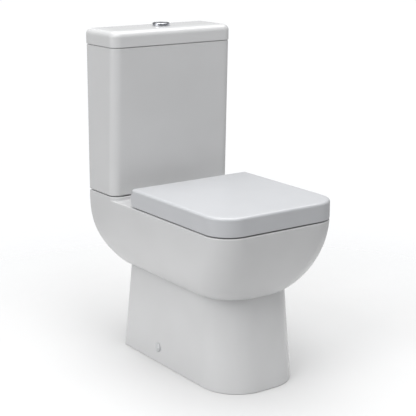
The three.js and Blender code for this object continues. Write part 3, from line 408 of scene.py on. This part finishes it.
def trapRoute():
    # Centre line of the soil way as bends of one radius and straight runs: points and their heading angles,
    # 0 pointing down, 90 towards the wall, more than 90 climbing.
    b, t = bowlSizes, trapSizes
    climb, fall = math.radians(t["climb"]), math.radians(t["fall"])
    rise = (t["crestZ"] - t["lowZ"] - 2 * t["bend"] * (1 - math.cos(climb))) / math.sin(climb)
    drop = (t["crestZ"] - t["axisZ"] - 2 * t["bend"] * (1 - math.cos(fall))) / math.sin(fall)
    legs = [("turn", 0, 90, b["throatZ"] - t["lowZ"]), ("turn", 90, 90 + t["climb"], t["bend"]),
            ("run", 90 + t["climb"], rise), ("turn", 90 + t["climb"], 90 - t["fall"], t["bend"]),
            ("run", 90 - t["fall"], drop), ("turn", 90 - t["fall"], 90, t["bend"])]
    route = [np.array([[0, b["throatZ"], 0.0]])]
    for leg in legs:
        y, z, _ = route[-1][-1]
        if leg[0] == "turn":
            a = np.radians(np.linspace(leg[1], leg[2], 15))[1:]
            start, r = math.radians(leg[1]), leg[3] * (1 if leg[2] > leg[1] else -1)
            points = np.stack([y + r * (math.cos(start) - np.cos(a)), z - r * (np.sin(a) - math.sin(start)), a], 1)
        else:
            a = math.radians(leg[1])
            d = np.linspace(0, leg[2], 5)[1:]
            points = np.stack([y + d * math.sin(a), z - d * math.cos(a), np.full_like(d, a)], 1)
        route.append(points)
    route = np.concatenate(route)
    route[:, 0] += t["spigotStart"] - 4 * mm - route[-1, 0]
    return route


def bowlAndTrap():
    # Bowl: outlines eased from the rim's room down to the throat. Trap: circles of radius r set square to
    # the route, point = centre + r (cos a across, sin a along the route's normal). The outside comes back.
    b, t = bowlSizes, trapSizes
    route = trapRoute()
    throatY = route[0, 0]
    depth = deckUnder - b["throatZ"]

    def bowlRings(grow, share):
        u = np.clip((share - 0.08) / 0.92, 0, 1)
        eased = u * u * (3 - 2 * u)
        goal = b["throat"]
        return roundedRings(mix(panHalf - b["roomInset"], goal, eased) + grow,
                            mix(panFront + b["roomInset"], throatY - goal, eased) - grow,
                            mix(b["roomBack"], throatY + goal, eased ** 1.3) + grow,
                            mix(panSizes["rimCorner"] - b["roomInset"], goal, eased) + grow,
                            mix(b["backRadius"], goal, eased) + grow, deckUnder - depth * share)

    def tubeRings(radius, rows):
        radius = np.broadcast_to(radius, rows.shape[:1])
        flat = roundedRings(radius, -radius, radius, radius, radius)
        y, z, a = rows[:, :1], rows[:, 1:2], rows[:, 2:3]
        return np.stack([flat[..., 0], y + flat[..., 1] * np.cos(a), z + flat[..., 1] * np.sin(a)], -1)

    down = np.linspace(0, 1, 44)
    tube = route[1:]
    end = np.array([[t["spigotStart"], t["axisZ"], math.pi / 2], [t["spigotEnd"] - 1 * mm, t["axisZ"], math.pi / 2],
                    [t["spigotEnd"], t["axisZ"], math.pi / 2]])
    bore = np.concatenate([bowlRings(0, down), tubeRings(t["bore"], tube),
                           tubeRings(np.array([t["spigotBore"], t["spigotBore"], t["spigotBore"] + 1 * mm]), end)])
    endOut = end[::-1].copy()
    endOut[2, 0] -= t["wall"]
    outer = np.concatenate([
        tubeRings(np.array([t["spigotOut"] - 1 * mm, t["spigotOut"], t["spigotOut"]]), endOut),
        tubeRings(t["bore"] + t["wall"], tube[::-1][1:]), bowlRings(b["wall"], down[::-1])])
    return ringSurface(np.concatenate([bore, outer]), closedV=True)


def flatPad(shape, z0, z1, edge=2 * mm):
    # A slab with one outline, its top edge rounded, closed at both middles.
    profile = profileOf([[0, z0]], arcOf(edge, z1 - edge, edge, 180, 90, 8), [[edge + 20 * mm, z1]])
    middle = (0, (shape["front"] + shape["back"]) / 2)
    return ringSurface(insetRings(shape, profile[:, 0], profile[:, 1]), (*middle, z0), (*middle, z1))


plinthShape = {"half": panHalf, "front": panSizes["plinthFront"], "back": panBack,
               "frontRadius": panSizes["plinthCorner"], "backRadius": 3 * mm}
plinthPoints, plinthFaces = flatPad(plinthShape, rimZ - 4 * mm, panHigh[2])
plinth = (flared(plinthPoints), plinthFaces)
buttonY = float((bezelLow[1] + bezelHigh[1]) / 2)
ductTop = deckUnder - 18 * mm
inletBoss = turned([(0, ductTop - 1 * mm), (30 * mm, ductTop - 1 * mm), (50 * mm, ductTop + 6 * mm),
                    (50 * mm, rimZ - 1 * mm), (0, rimZ - 1 * mm)], (0, buttonY, 0))
ductShape = {"half": 39 * mm, "front": 40 * mm, "back": buttonY + 20 * mm,
             "frontRadius": 8 * mm, "backRadius": 8 * mm}
duct = flatPad(ductShape, ductTop - 33 * mm, deckUnder + 1 * mm)

makePiece("pan_wall", panWall(), "base", finishes["glaze"], ["pan"], sharp=30)
makePiece("pan_deck", panDeck(), "base", finishes["glaze"])
makePiece("pan_bowl", bowlAndTrap(), "base", finishes["glaze"])
makePiece("pan_plinth", [plinth, inletBoss, duct], "base", finishes["glaze"])
print("pan built")

# Cistern and its lid.

tankSizes = {"halfBottom": 177.3 * mm, "halfTop": 175.4 * mm, "depthBottom": 119.8 * mm, "depthTop": 135.3 * mm,
             "corner": 23 * mm, "backCorner": 3 * mm, "wall": 9 * mm, "floor": 10 * mm, "foot": 5 * mm,
             "topEdge": 2 * mm, "insideCorner": 4 * mm}


def tankShape(z):
    # Cistern's outside: every size linear from the bottom to the top.
    s = tankSizes
    t = (z - tankLow[2]) / (tankHigh[2] - tankLow[2])
    return {"half": mix(s["halfBottom"], s["halfTop"], t), "back": np.full_like(t, tankHigh[1]),
            "front": tankHigh[1] - mix(s["depthBottom"], s["depthTop"], t),
            "frontRadius": np.full_like(t, s["corner"]), "backRadius": np.full_like(t, s["backCorner"])}


def cistern():
    # Open tank: up the outside, over the rim and down the inside, with a pole in the middle of each floor.
    s, low, high = tankSizes, tankLow[2], tankHigh[2]
    inFloor = low + s["floor"]
    profile = profileOf(
        [[s["foot"] + 25 * mm, low]], arcOf(s["foot"], low + s["foot"], s["foot"], 270, 180, 8),
        arcOf(s["topEdge"], high - s["topEdge"], s["topEdge"], 180, 90, 6),
        arcOf(s["wall"] - s["topEdge"], high - s["topEdge"], s["topEdge"], 90, 0, 6),
        arcOf(s["wall"] + s["insideCorner"], inFloor + s["insideCorner"], s["insideCorner"], 180, 270, 6),
        [[s["wall"] + 25 * mm, inFloor]])
    middle = (0, tankHigh[1] - s["depthBottom"] / 2)
    return ringSurface(insetRings(tankShape, profile[:, 0], profile[:, 1]), (*middle, low), (*middle, inFloor))


lidSizes = {"overhang": 1.2 * mm, "gap": 1.4 * mm, "crownReach": 24 * mm, "underEdge": 1.2 * mm,
            "rounding": 15 * mm, "crown": 1 * mm, "plate": 11 * mm, "landing": 4.2 * mm, "flange": 12.2 * mm, "flangeWall": 7 * mm, "hole": 19.8 * mm}
lidBase = tankHigh[2] + lidSizes["gap"]
topShape = tankShape(np.array([tankHigh[2]]))
lidShape = {key: float(value[0]) + (-1 if key == "front" else 1) * lidSizes["overhang"]
            for key, value in topShape.items()}


def lid():
    # Up the rounded side, over a slightly crowned top to the round button hole, down through it, and back
    # by the hollow underside and the locating flange.
    s = lidSizes
    top, base, r = lidHigh[2], lidBase, lidSizes["rounding"]
    side = profileOf([[s["landing"], base]], arcOf(s["underEdge"], base + s["underEdge"], s["underEdge"], 270, 180, 5),
                     arcOf(r, top - s["crown"] - r, r, 180, 90, 20))
    fall = np.linspace(0, 1, 10)[1:]
    crown = np.stack([r + fall * s["crownReach"], top - s["crown"] * (1 - fall) ** 2], 1)
    rings = insetRings(lidShape, np.append(side[:, 0], crown[:, 0]), np.append(side[:, 1], crown[:, 1]))
    hole = roundedRings(s["hole"], -s["hole"], s["hole"], s["hole"], s["hole"],
                        np.array([top, top - 0.4 * mm, top - s["plate"] + 0.4 * mm, top - s["plate"]]))
    hole = hole + np.array([0, buttonY, 0])
    flangeLow = lidLow[2]
    inner = s["flange"] + s["flangeWall"]
    under = profileOf([[inner + 4 * mm, top - s["plate"]]],
                      arcOf(inner + 4 * mm, top - s["plate"] - 4 * mm, 4 * mm, 90, 180, 5),
                      arcOf(inner - 1 * mm, flangeLow + 1 * mm, 1 * mm, 0, -90, 4),
                      arcOf(s["flange"] + 1 * mm, flangeLow + 1 * mm, 1 * mm, 270, 180, 4),
                      [[s["flange"], tankHigh[2] + 0.3 * mm], [s["landing"], tankHigh[2] + 0.3 * mm]])
    return ringSurface(np.concatenate([rings, hole, insetRings(lidShape, under[:, 0], under[:, 1])]), closedV=True)


makePiece("cistern_shell", cistern(), "base", finishes["glaze"], ["cistern"])
makePiece("lid_shell", lid(), "lid", finishes["glaze"], ["cistern_lid"], sharp=50)
print("cistern and lid built")

# Push button: a ring and two keys.

buttonSizes = {"bore": 17.6 * mm, "sleeve": 18.6 * mm, "outer": 21.7 * mm, "radius": 17.2 * mm, "crown": 3 * mm,
               "split": -4 * mm, "gap": 0.3 * mm, "skirt": 8 * mm, "edge": 0.9 * mm,
               "lidGap": 0.3 * mm, "sunk": 1.5 * mm, "fullRod": 10 * mm, "halfRod": -12 * mm}
bezelTop, bezelBase = bezelHigh[2], lidHigh[2] + buttonSizes["lidGap"]


def bezel():
    # Ring with a rolled edge: out from the sleeve over the lid, up, and rounded over into the bore.
    s = buttonSizes
    roll = arcOf(s["outer"] - 2.4 * mm, bezelTop - 2.4 * mm, 2.4 * mm, 0, 90, 10)
    mouth = arcOf(s["bore"] + 0.8 * mm, bezelTop - 0.8 * mm, 0.8 * mm, 90, 180, 6)
    return turned(np.concatenate([[[s["bore"], bezelLow[2]], [s["sleeve"], bezelLow[2]], [s["sleeve"], bezelBase],
                                   [s["outer"] - 0.3 * mm, bezelBase], [s["outer"], bezelBase + 0.3 * mm]], roll, mouth]),
                  (0, buttonY, 0))


def buttonHalf(side, node):
    # A D-shaped key: its outline is the disc's circle cut by a chord, and the face's height is
    # face + crown (1 - r^2/R^2). A thin rod hangs below it.
    s = buttonSizes
    low, high = boxOf(node)
    r = s["radius"]
    chord = s["split"] + side * s["gap"]
    reach = math.acos(side * chord / r)
    around = np.linspace(-reach, reach, 72)
    arc = np.stack([side * r * np.cos(around), r * np.sin(around)], 1)
    line = np.linspace(arc[-1], arc[0], 18)[1:-1]
    loop = np.concatenate([arc, line])
    if side < 0:
        loop = loop[::-1]
    core = loop.mean(0)
    face = bezelTop - s["sunk"]
    shares = np.concatenate([[0.25, 1, 1, 1], 1 - 0.06 * (1 - np.cos(np.linspace(0, np.pi / 2, 6)[1:])),
                             np.linspace(0.9, 0.06, 16)])
    xy = core + (loop - core) * shares[:, None, None]
    radial = np.hypot(xy[..., 0], xy[..., 1]) / r
    z = face + s["crown"] * (1 - radial ** 2)
    edge = np.concatenate([[0, 0, 0], [1.4 * mm], s["edge"] * (1 - np.sin(np.linspace(0, np.pi / 2, 6)[1:]))])
    z[4:9] -= edge[4:, None]
    z[3] -= edge[3]
    z[2] = face - s["skirt"] + 0.3 * mm
    z[:2] = face - s["skirt"]
    rings = np.concatenate([xy, z[..., None]], -1)
    topZ = face + s["crown"] * (1 - (core @ core) / r ** 2)
    skin = ringSurface(rings, (*core, face - s["skirt"]), (*core, topZ))
    skin = (skin[0] + np.array([0, buttonY, 0]), skin[1])
    rodX = s["fullRod"] if side > 0 else s["halfRod"]
    rod = turned([(0, low[2]), (2.6 * mm, low[2]), (3 * mm, low[2] + 0.4 * mm), (3 * mm, face - s["skirt"] + 1 * mm),
                  (0, face - s["skirt"] + 1 * mm)], (rodX, buttonY, 0), steps=32)
    return [skin, rod]


makePiece("bezel_ring", bezel(), "lid", finishes["chrome"], ["button_bezel"])
makePiece("key_full", buttonHalf(1, "button_full"), "full_button", finishes["chrome"], ["button_full"])
makePiece("key_half", buttonHalf(-1, "button_half"), "half_button", finishes["chrome"], ["button_half"])
print("push button built")

# Seat, cover and their hinges.

hingeLow, hingeHigh = boxOf("hinge_pin_right")
hingeY, hingeZ = (hingeLow[1] + hingeHigh[1]) / 2, (hingeLow[2] + hingeHigh[2]) / 2
hingeSizes = {"postX": 77.5 * mm, "postHalf": 12 * mm, "knuckle": 9.5 * mm, "gap": 1.5 * mm, "seatWidth": 23 * mm,
              "coverWidth": 22 * mm}
seatKnuckle = [hingeSizes["postX"] - hingeSizes["postHalf"] - hingeSizes["gap"] - hingeSizes["seatWidth"],
               hingeSizes["postX"] - hingeSizes["postHalf"] - hingeSizes["gap"]]
coverKnuckle = [hingeSizes["postX"] + hingeSizes["postHalf"] + hingeSizes["gap"],
                hingeSizes["postX"] + hingeSizes["postHalf"] + hingeSizes["gap"] + hingeSizes["coverWidth"]]


def barrel(x0, x1, radius, edge=0.8 * mm):
    # Cylinder along X about the hinge line with rounded rims.
    profile = np.concatenate([[[0, x0]], arcOf(radius - edge, x0 + edge, edge, 270, 360, 5),
                              arcOf(radius - edge, x1 - edge, edge, 0, 90, 5), [[0, x1]]])
    return turned(profile, (0, hingeY, hingeZ), axis="x", steps=48)


def block(x0, x1, y0, y1, z0, z1, corner=2 * mm):
    # A box between three pairs of planes with rounded upright edges.
    shape = {"half": (x1 - x0) / 2, "front": y0, "back": y1, "frontRadius": corner, "backRadius": corner}
    edge = 0.5 * mm
    rings = insetRings(shape, np.array([edge, 0, 0, edge]), np.array([z0, z0 + edge, z1 - edge, z1]))
    points, faces = ringSurface(rings, (0, (y0 + y1) / 2, z0), (0, (y0 + y1) / 2, z1))
    return points + np.array([(x0 + x1) / 2, 0, 0]), faces


coverSizes = {"corner": 65 * mm, "backCorner": 8 * mm, "edge": 7 * mm, "crown": 1 * mm, "wall": 4 * mm,
              "plate": 8 * mm, "foot": 1 * mm, "cutHalf": 118 * mm, "barrel": 19.6 * mm, "crownReach": 150 * mm,
              "cutGap": 2.5 * mm, "swellReach": 12 * mm, "swellStart": 104 * mm, "swellRun": 14 * mm}
coverBack = coverHigh[1]
coverShape = {"half": coverHigh[0], "front": coverLow[1], "back": coverBack,
              "frontRadius": coverSizes["corner"], "backRadius": coverSizes["backCorner"]}


def seatCover():
    # Shallow tray upside down: up the skirt, round the edge, over the crowned top to its middle, and the
    # inside back down to the skirt. Across the back the skirt's foot is lifted clear of the hinges.
    s, low, top = coverSizes, coverLow[2], coverHigh[2]
    cut = hingeZ + hingeSizes["knuckle"] + s["cutGap"]
    levels = np.linspace(low + s["foot"] + 1 * mm, top - s["crown"] - s["edge"] - 1 * mm, 14)
    side = profileOf(arcOf(s["foot"], low + s["foot"], s["foot"], 270, 180, 5),
                     np.stack([levels * 0, levels], 1),
                     arcOf(s["edge"], top - s["crown"] - s["edge"], s["edge"], 180, 90, 12))
    fall = np.linspace(0, 1, 22)[1:]
    crown = np.stack([s["edge"] + fall * s["crownReach"], top - s["crown"] * (1 - fall) ** 2.6], 1)
    outer = insetRings(coverShape, np.append(side[:, 0], crown[:, 0]), np.append(side[:, 1], crown[:, 1]))
    under = profileOf([[s["wall"] + 60 * mm, top - s["plate"]]],
                      arcOf(s["wall"] + 3 * mm, top - s["plate"] - 3 * mm, 3 * mm, 90, 180, 5),
                      arcOf(s["wall"] - 1 * mm, low + 1 * mm, 1 * mm, 0, -90, 4))
    inner = insetRings(coverShape, under[:, 0], under[:, 1])
    for rings in (outer, inner):
        raised = (np.abs(rings[..., 0]) < s["cutHalf"]) & (rings[..., 1] > coverBack - 9 * mm)
        z = rings[..., 2]
        share = (z - low) / (top - s["plate"] - low)
        lifted = cut + np.clip(share, 0, 1) * (top - s["plate"] - cut)
        rings[..., 2] = np.where(raised & (z < top - s["plate"]), lifted, z)
    # Past the hinge feet the back edge swells into a barrel: back = hinge line + sqrt(R^2 - rise^2).
    swell = np.sqrt(np.maximum(s["barrel"] ** 2 - (outer[..., 2] - hingeZ) ** 2, 0)) - (coverBack - hingeY)
    near = np.clip((outer[..., 1] - coverBack) / s["swellReach"] + 1, 0, 1)
    clear = np.clip((np.abs(outer[..., 0]) - s["swellStart"]) / s["swellRun"], 0, 1)
    outer[..., 1] += np.maximum(swell, 0) * near * (2 - near) * clear
    middle = (0, (coverLow[1] + coverBack) / 2)
    topSkin = ringSurface(np.concatenate([inner, outer]), (*middle, top - s["plate"]), (*middle, top))
    knuckles = []
    for side in (-1, 1):
        x0, x1 = sorted([side * coverKnuckle[0], side * coverKnuckle[1]])
        knuckles += [barrel(x0, x1, hingeSizes["knuckle"]),
                     block(x0, x1, hingeY - 5 * mm, hingeY + 6 * mm, hingeZ, top - s["plate"] + 1 * mm)]
    return [topSkin] + knuckles


seatSizes = {"inset": 5.2 * mm, "corner": 59.8 * mm, "backCorner": 10 * mm, "edge": 6 * mm, "foot": 1.5 * mm,
             "mouthHalf": 112 * mm, "ring": 56 * mm, "backBar": 54 * mm, "mouthFront": 84 * mm, "mouthBack": 62 * mm,
             "mouthEdge": 9 * mm, "thickness": 24 * mm, "backToHinge": 20 * mm}
seatFront, seatTop = coverLow[1] + seatSizes["inset"], coverLow[2] + seatSizes["thickness"]
seatBack = hingeY - seatSizes["backToHinge"]


def seatRing():
    # Ring: up the outer side, round over the top, down the mouth's softer edge, and along underneath.
    s, low = seatSizes, seatLow[2]
    outline = {"half": panHalf - s["inset"], "front": seatFront, "back": seatBack, "frontRadius": s["corner"],
               "backRadius": s["backCorner"]}
    mouth = {"half": s["mouthHalf"], "front": seatFront + s["ring"], "back": seatBack - s["backBar"],
             "frontRadius": s["mouthFront"], "backRadius": s["mouthBack"]}
    side = profileOf(arcOf(s["foot"], low + s["foot"], s["foot"], 270, 180, 5),
                     arcOf(s["edge"], seatTop - s["edge"], s["edge"], 180, 90, 10), [[s["edge"] + 6 * mm, seatTop]])
    inner = profileOf(arcOf(0 - s["mouthEdge"], seatTop - s["mouthEdge"], s["mouthEdge"], 90, 0, 12),
                      arcOf(-1.5 * mm, low + 1.5 * mm, 1.5 * mm, 0, -90, 5))
    rings = np.concatenate([insetRings(outline, side[:, 0], side[:, 1]),
                            insetRings(mouth, inner[:, 0], inner[:, 1])])
    surfaces = [ringSurface(rings, closedV=True)]
    for side in (-1, 1):
        x0, x1 = sorted([side * seatKnuckle[0], side * seatKnuckle[1]])
        surfaces += [barrel(x0, x1, hingeSizes["knuckle"]),
                     block(x0, x1, seatBack - 4 * mm, hingeY, hingeZ - 7 * mm, hingeZ + 6.5 * mm)]
    return surfaces


makePiece("cover_shell", seatCover(), "cover", finishes["seat_plastic"], ["seat_cover"], sharp=40)
makePiece("seat_shell", seatRing(), "seat", finishes["seat_plastic"], ["seat_ring"], sharp=40)
for side, name in ((-1, "left"), (1, "right")):
    x0 = side * hingeSizes["postX"] - hingeSizes["postHalf"]
    x1 = x0 + 2 * hingeSizes["postHalf"]
    post = [barrel(x0, x1, hingeSizes["knuckle"]),
            block(x0, x1, hingeY - 7.5 * mm, hingeY + 7.5 * mm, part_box("hinge_post_" + name)[0][2], hingeZ)]
    makePiece("post_" + name, post, "base", finishes["chrome"], ["hinge_post_" + name])
    low, high = boxOf("hinge_base_" + name)
    foot = [(0, low[2]), (5 * mm, low[2]), (5 * mm, rimZ + 0.3 * mm), (18.4 * mm, rimZ + 0.3 * mm)]
    foot += arcOf(17.4 * mm, rimZ + 1.9 * mm, 1.6 * mm, -60, 90, 9).tolist() + [(9 * mm, high[2]), (0, high[2])]
    makePiece("hinge_foot_" + name, turned(foot, (side * hingeSizes["postX"], hingeY, 0), steps=64),
              "base", finishes["chrome"], ["hinge_base_" + name])
print("seat and cover built")

# Caps over the side screws of the foot.

capSizes = {"radius": 11.5 * mm, "rim": 1.4 * mm, "rise": 5.9 * mm}
for side, name in ((-1, "left"), (1, "right")):
    low, high = boxOf("screw_cap_" + name)
    near = low[0] if side > 0 else -high[0]
    a = np.radians(np.linspace(0, 90, 16))
    dome = np.stack([capSizes["radius"] * np.cos(a) ** 0.8,
                     near + capSizes["rim"] + (capSizes["rise"] - capSizes["rim"]) * np.sin(a)], 1)
    dome[-1, 0] = 0
    dome = np.concatenate([[[0, near - 1 * mm], [capSizes["radius"], near - 1 * mm]], dome])
    makePiece("cap_" + name, turned(dome, (0, (low[1] + high[1]) / 2, (low[2] + high[2]) / 2),
                                    axis="x" if side > 0 else "-x", steps=64),
              "base", finishes["white_plastic"], ["screw_cap_" + name])
print("fixing caps built")

# Floor, light and camera.

stageSizes = {"floorRadius": 3.2, "floorSteps": 96, "fadeStart": 0.45, "fadeEnd": 1.5, "floorColour": 0.74,
              "fillAbove": 0.34, "fillBelow": 0.34, "whiteLevel": 1.02,
              "sidePower": 20, "frontPower": 21, "keyPower": 42, "topPower": 104}


def makeFloor():
    # Pale disc that fades into the white surroundings with the distance from the middle.
    u = np.linspace(0, 2 * np.pi, stageSizes["floorSteps"], endpoint=False)
    r = stageSizes["floorRadius"]
    points = np.stack([r * np.cos(u), r * np.sin(u), np.full_like(u, -0.5 * mm)], 1)
    mesh = bpy.data.meshes.new("floor")
    mesh.from_pydata(points.tolist(), [], [list(range(len(points)))])
    material = bpy.data.materials.new("floor")
    material.use_nodes = True
    tree = material.node_tree
    shader = tree.nodes["Principled BSDF"]
    shader.inputs["Base Color"].default_value = (stageSizes["floorColour"],) * 3 + (1,)
    shader.inputs["Roughness"].default_value = 0.9
    place = tree.nodes.new("ShaderNodeTexCoord")
    away = tree.nodes.new("ShaderNodeVectorMath")
    away.operation = "LENGTH"
    fade = tree.nodes.new("ShaderNodeMapRange")
    fade.interpolation_type = "SMOOTHSTEP"
    fade.inputs["From Min"].default_value = stageSizes["fadeStart"]
    fade.inputs["From Max"].default_value = stageSizes["fadeEnd"]
    fade.inputs["To Min"].default_value = 1
    fade.inputs["To Max"].default_value = 0
    tree.links.new(place.outputs["Object"], away.inputs[0])
    tree.links.new(away.outputs["Value"], fade.inputs["Value"])
    tree.links.new(fade.outputs["Result"], shader.inputs["Alpha"])
    mesh.materials.append(material)
    floor = bpy.data.objects.new("floor", mesh)
    bpy.context.scene.collection.objects.link(floor)


def makeWorld():
    # White surroundings for the eye, a dimmer even grey for the light they give.
    world = bpy.data.worlds.new("surroundings")
    world.use_nodes = True
    tree = world.node_tree
    background = tree.nodes["Background"]
    path = tree.nodes.new("ShaderNodeLightPath")
    place = tree.nodes.new("ShaderNodeTexCoord")
    height = tree.nodes.new("ShaderNodeSeparateXYZ")
    tree.links.new(place.outputs["Generated"], height.inputs[0])
    sky = tree.nodes.new("ShaderNodeMapRange")
    sky.interpolation_type = "SMOOTHSTEP"
    sky.inputs["From Min"].default_value = -0.2
    sky.inputs["From Max"].default_value = 0.3
    sky.inputs["To Min"].default_value = stageSizes["fillBelow"]
    sky.inputs["To Max"].default_value = stageSizes["fillAbove"]
    tree.links.new(height.outputs["Z"], sky.inputs["Value"])
    level = tree.nodes.new("ShaderNodeMapRange")
    tree.links.new(sky.outputs["Result"], level.inputs["To Min"])
    level.inputs["To Max"].default_value = stageSizes["whiteLevel"]
    tree.links.new(path.outputs["Is Camera Ray"], level.inputs["Value"])
    tree.links.new(level.outputs["Result"], background.inputs["Strength"])
    background.inputs["Color"].default_value = (0.985, 0.992, 1, 1)
    bpy.context.scene.world = world


def softBox(name, place, target, size, power):
    # A square area light that faces its target.
    light = bpy.data.lights.new(name, "AREA")
    light.shape = "SQUARE"
    light.size = size
    light.energy = power
    box = bpy.data.objects.new(name, light)
    box.location = place
    box.rotation_euler = (Vector(target) - Vector(place)).to_track_quat("-Z", "Y").to_euler()
    bpy.context.scene.collection.objects.link(box)


cameraSizes = {"azimuth": 35.32, "elevation": 14.24, "distance": 2.912, "target": (0, -0.0174, 0.408),
               "lens": 102.5, "sensor": 36, "shift": (-0.0151, -0.0048)}


def makeCamera():
    # Long lens a little left of the front and above it.
    azimuth, elevation = math.radians(cameraSizes["azimuth"]), math.radians(cameraSizes["elevation"])
    level = math.cos(elevation)
    away = Vector((-math.sin(azimuth) * level, -math.cos(azimuth) * level, math.sin(elevation)))
    data = bpy.data.cameras.new("camera")
    data.lens, data.sensor_width = cameraSizes["lens"], cameraSizes["sensor"]
    data.shift_x, data.shift_y = cameraSizes["shift"]
    camera = bpy.data.objects.new("camera", data)
    camera.location = Vector(cameraSizes["target"]) + away * cameraSizes["distance"]
    camera.rotation_euler = (-away).to_track_quat("-Z", "Y").to_euler()
    bpy.context.scene.collection.objects.link(camera)
    bpy.context.scene.camera = camera


makeFloor()
makeWorld()
softBox("key", (-2.6, -1.0, 3.0), (0, 0, 0.5), 1.6, stageSizes["keyPower"])
softBox("side", (-3.0, 0.4, 1.3), (0, 0, 0.4), 1.8, stageSizes["sidePower"])
softBox("front", (-0.4, -2.0, 3.0), (0, 0.1, 0.6), 1.6, stageSizes["frontPower"])
softBox("top", (0.2, 0.2, 3.2), (0, 0, 0.4), 3.4, stageSizes["topPower"])
makeCamera()
bpy.context.scene.view_settings.view_transform = "Standard"
print("stage set")
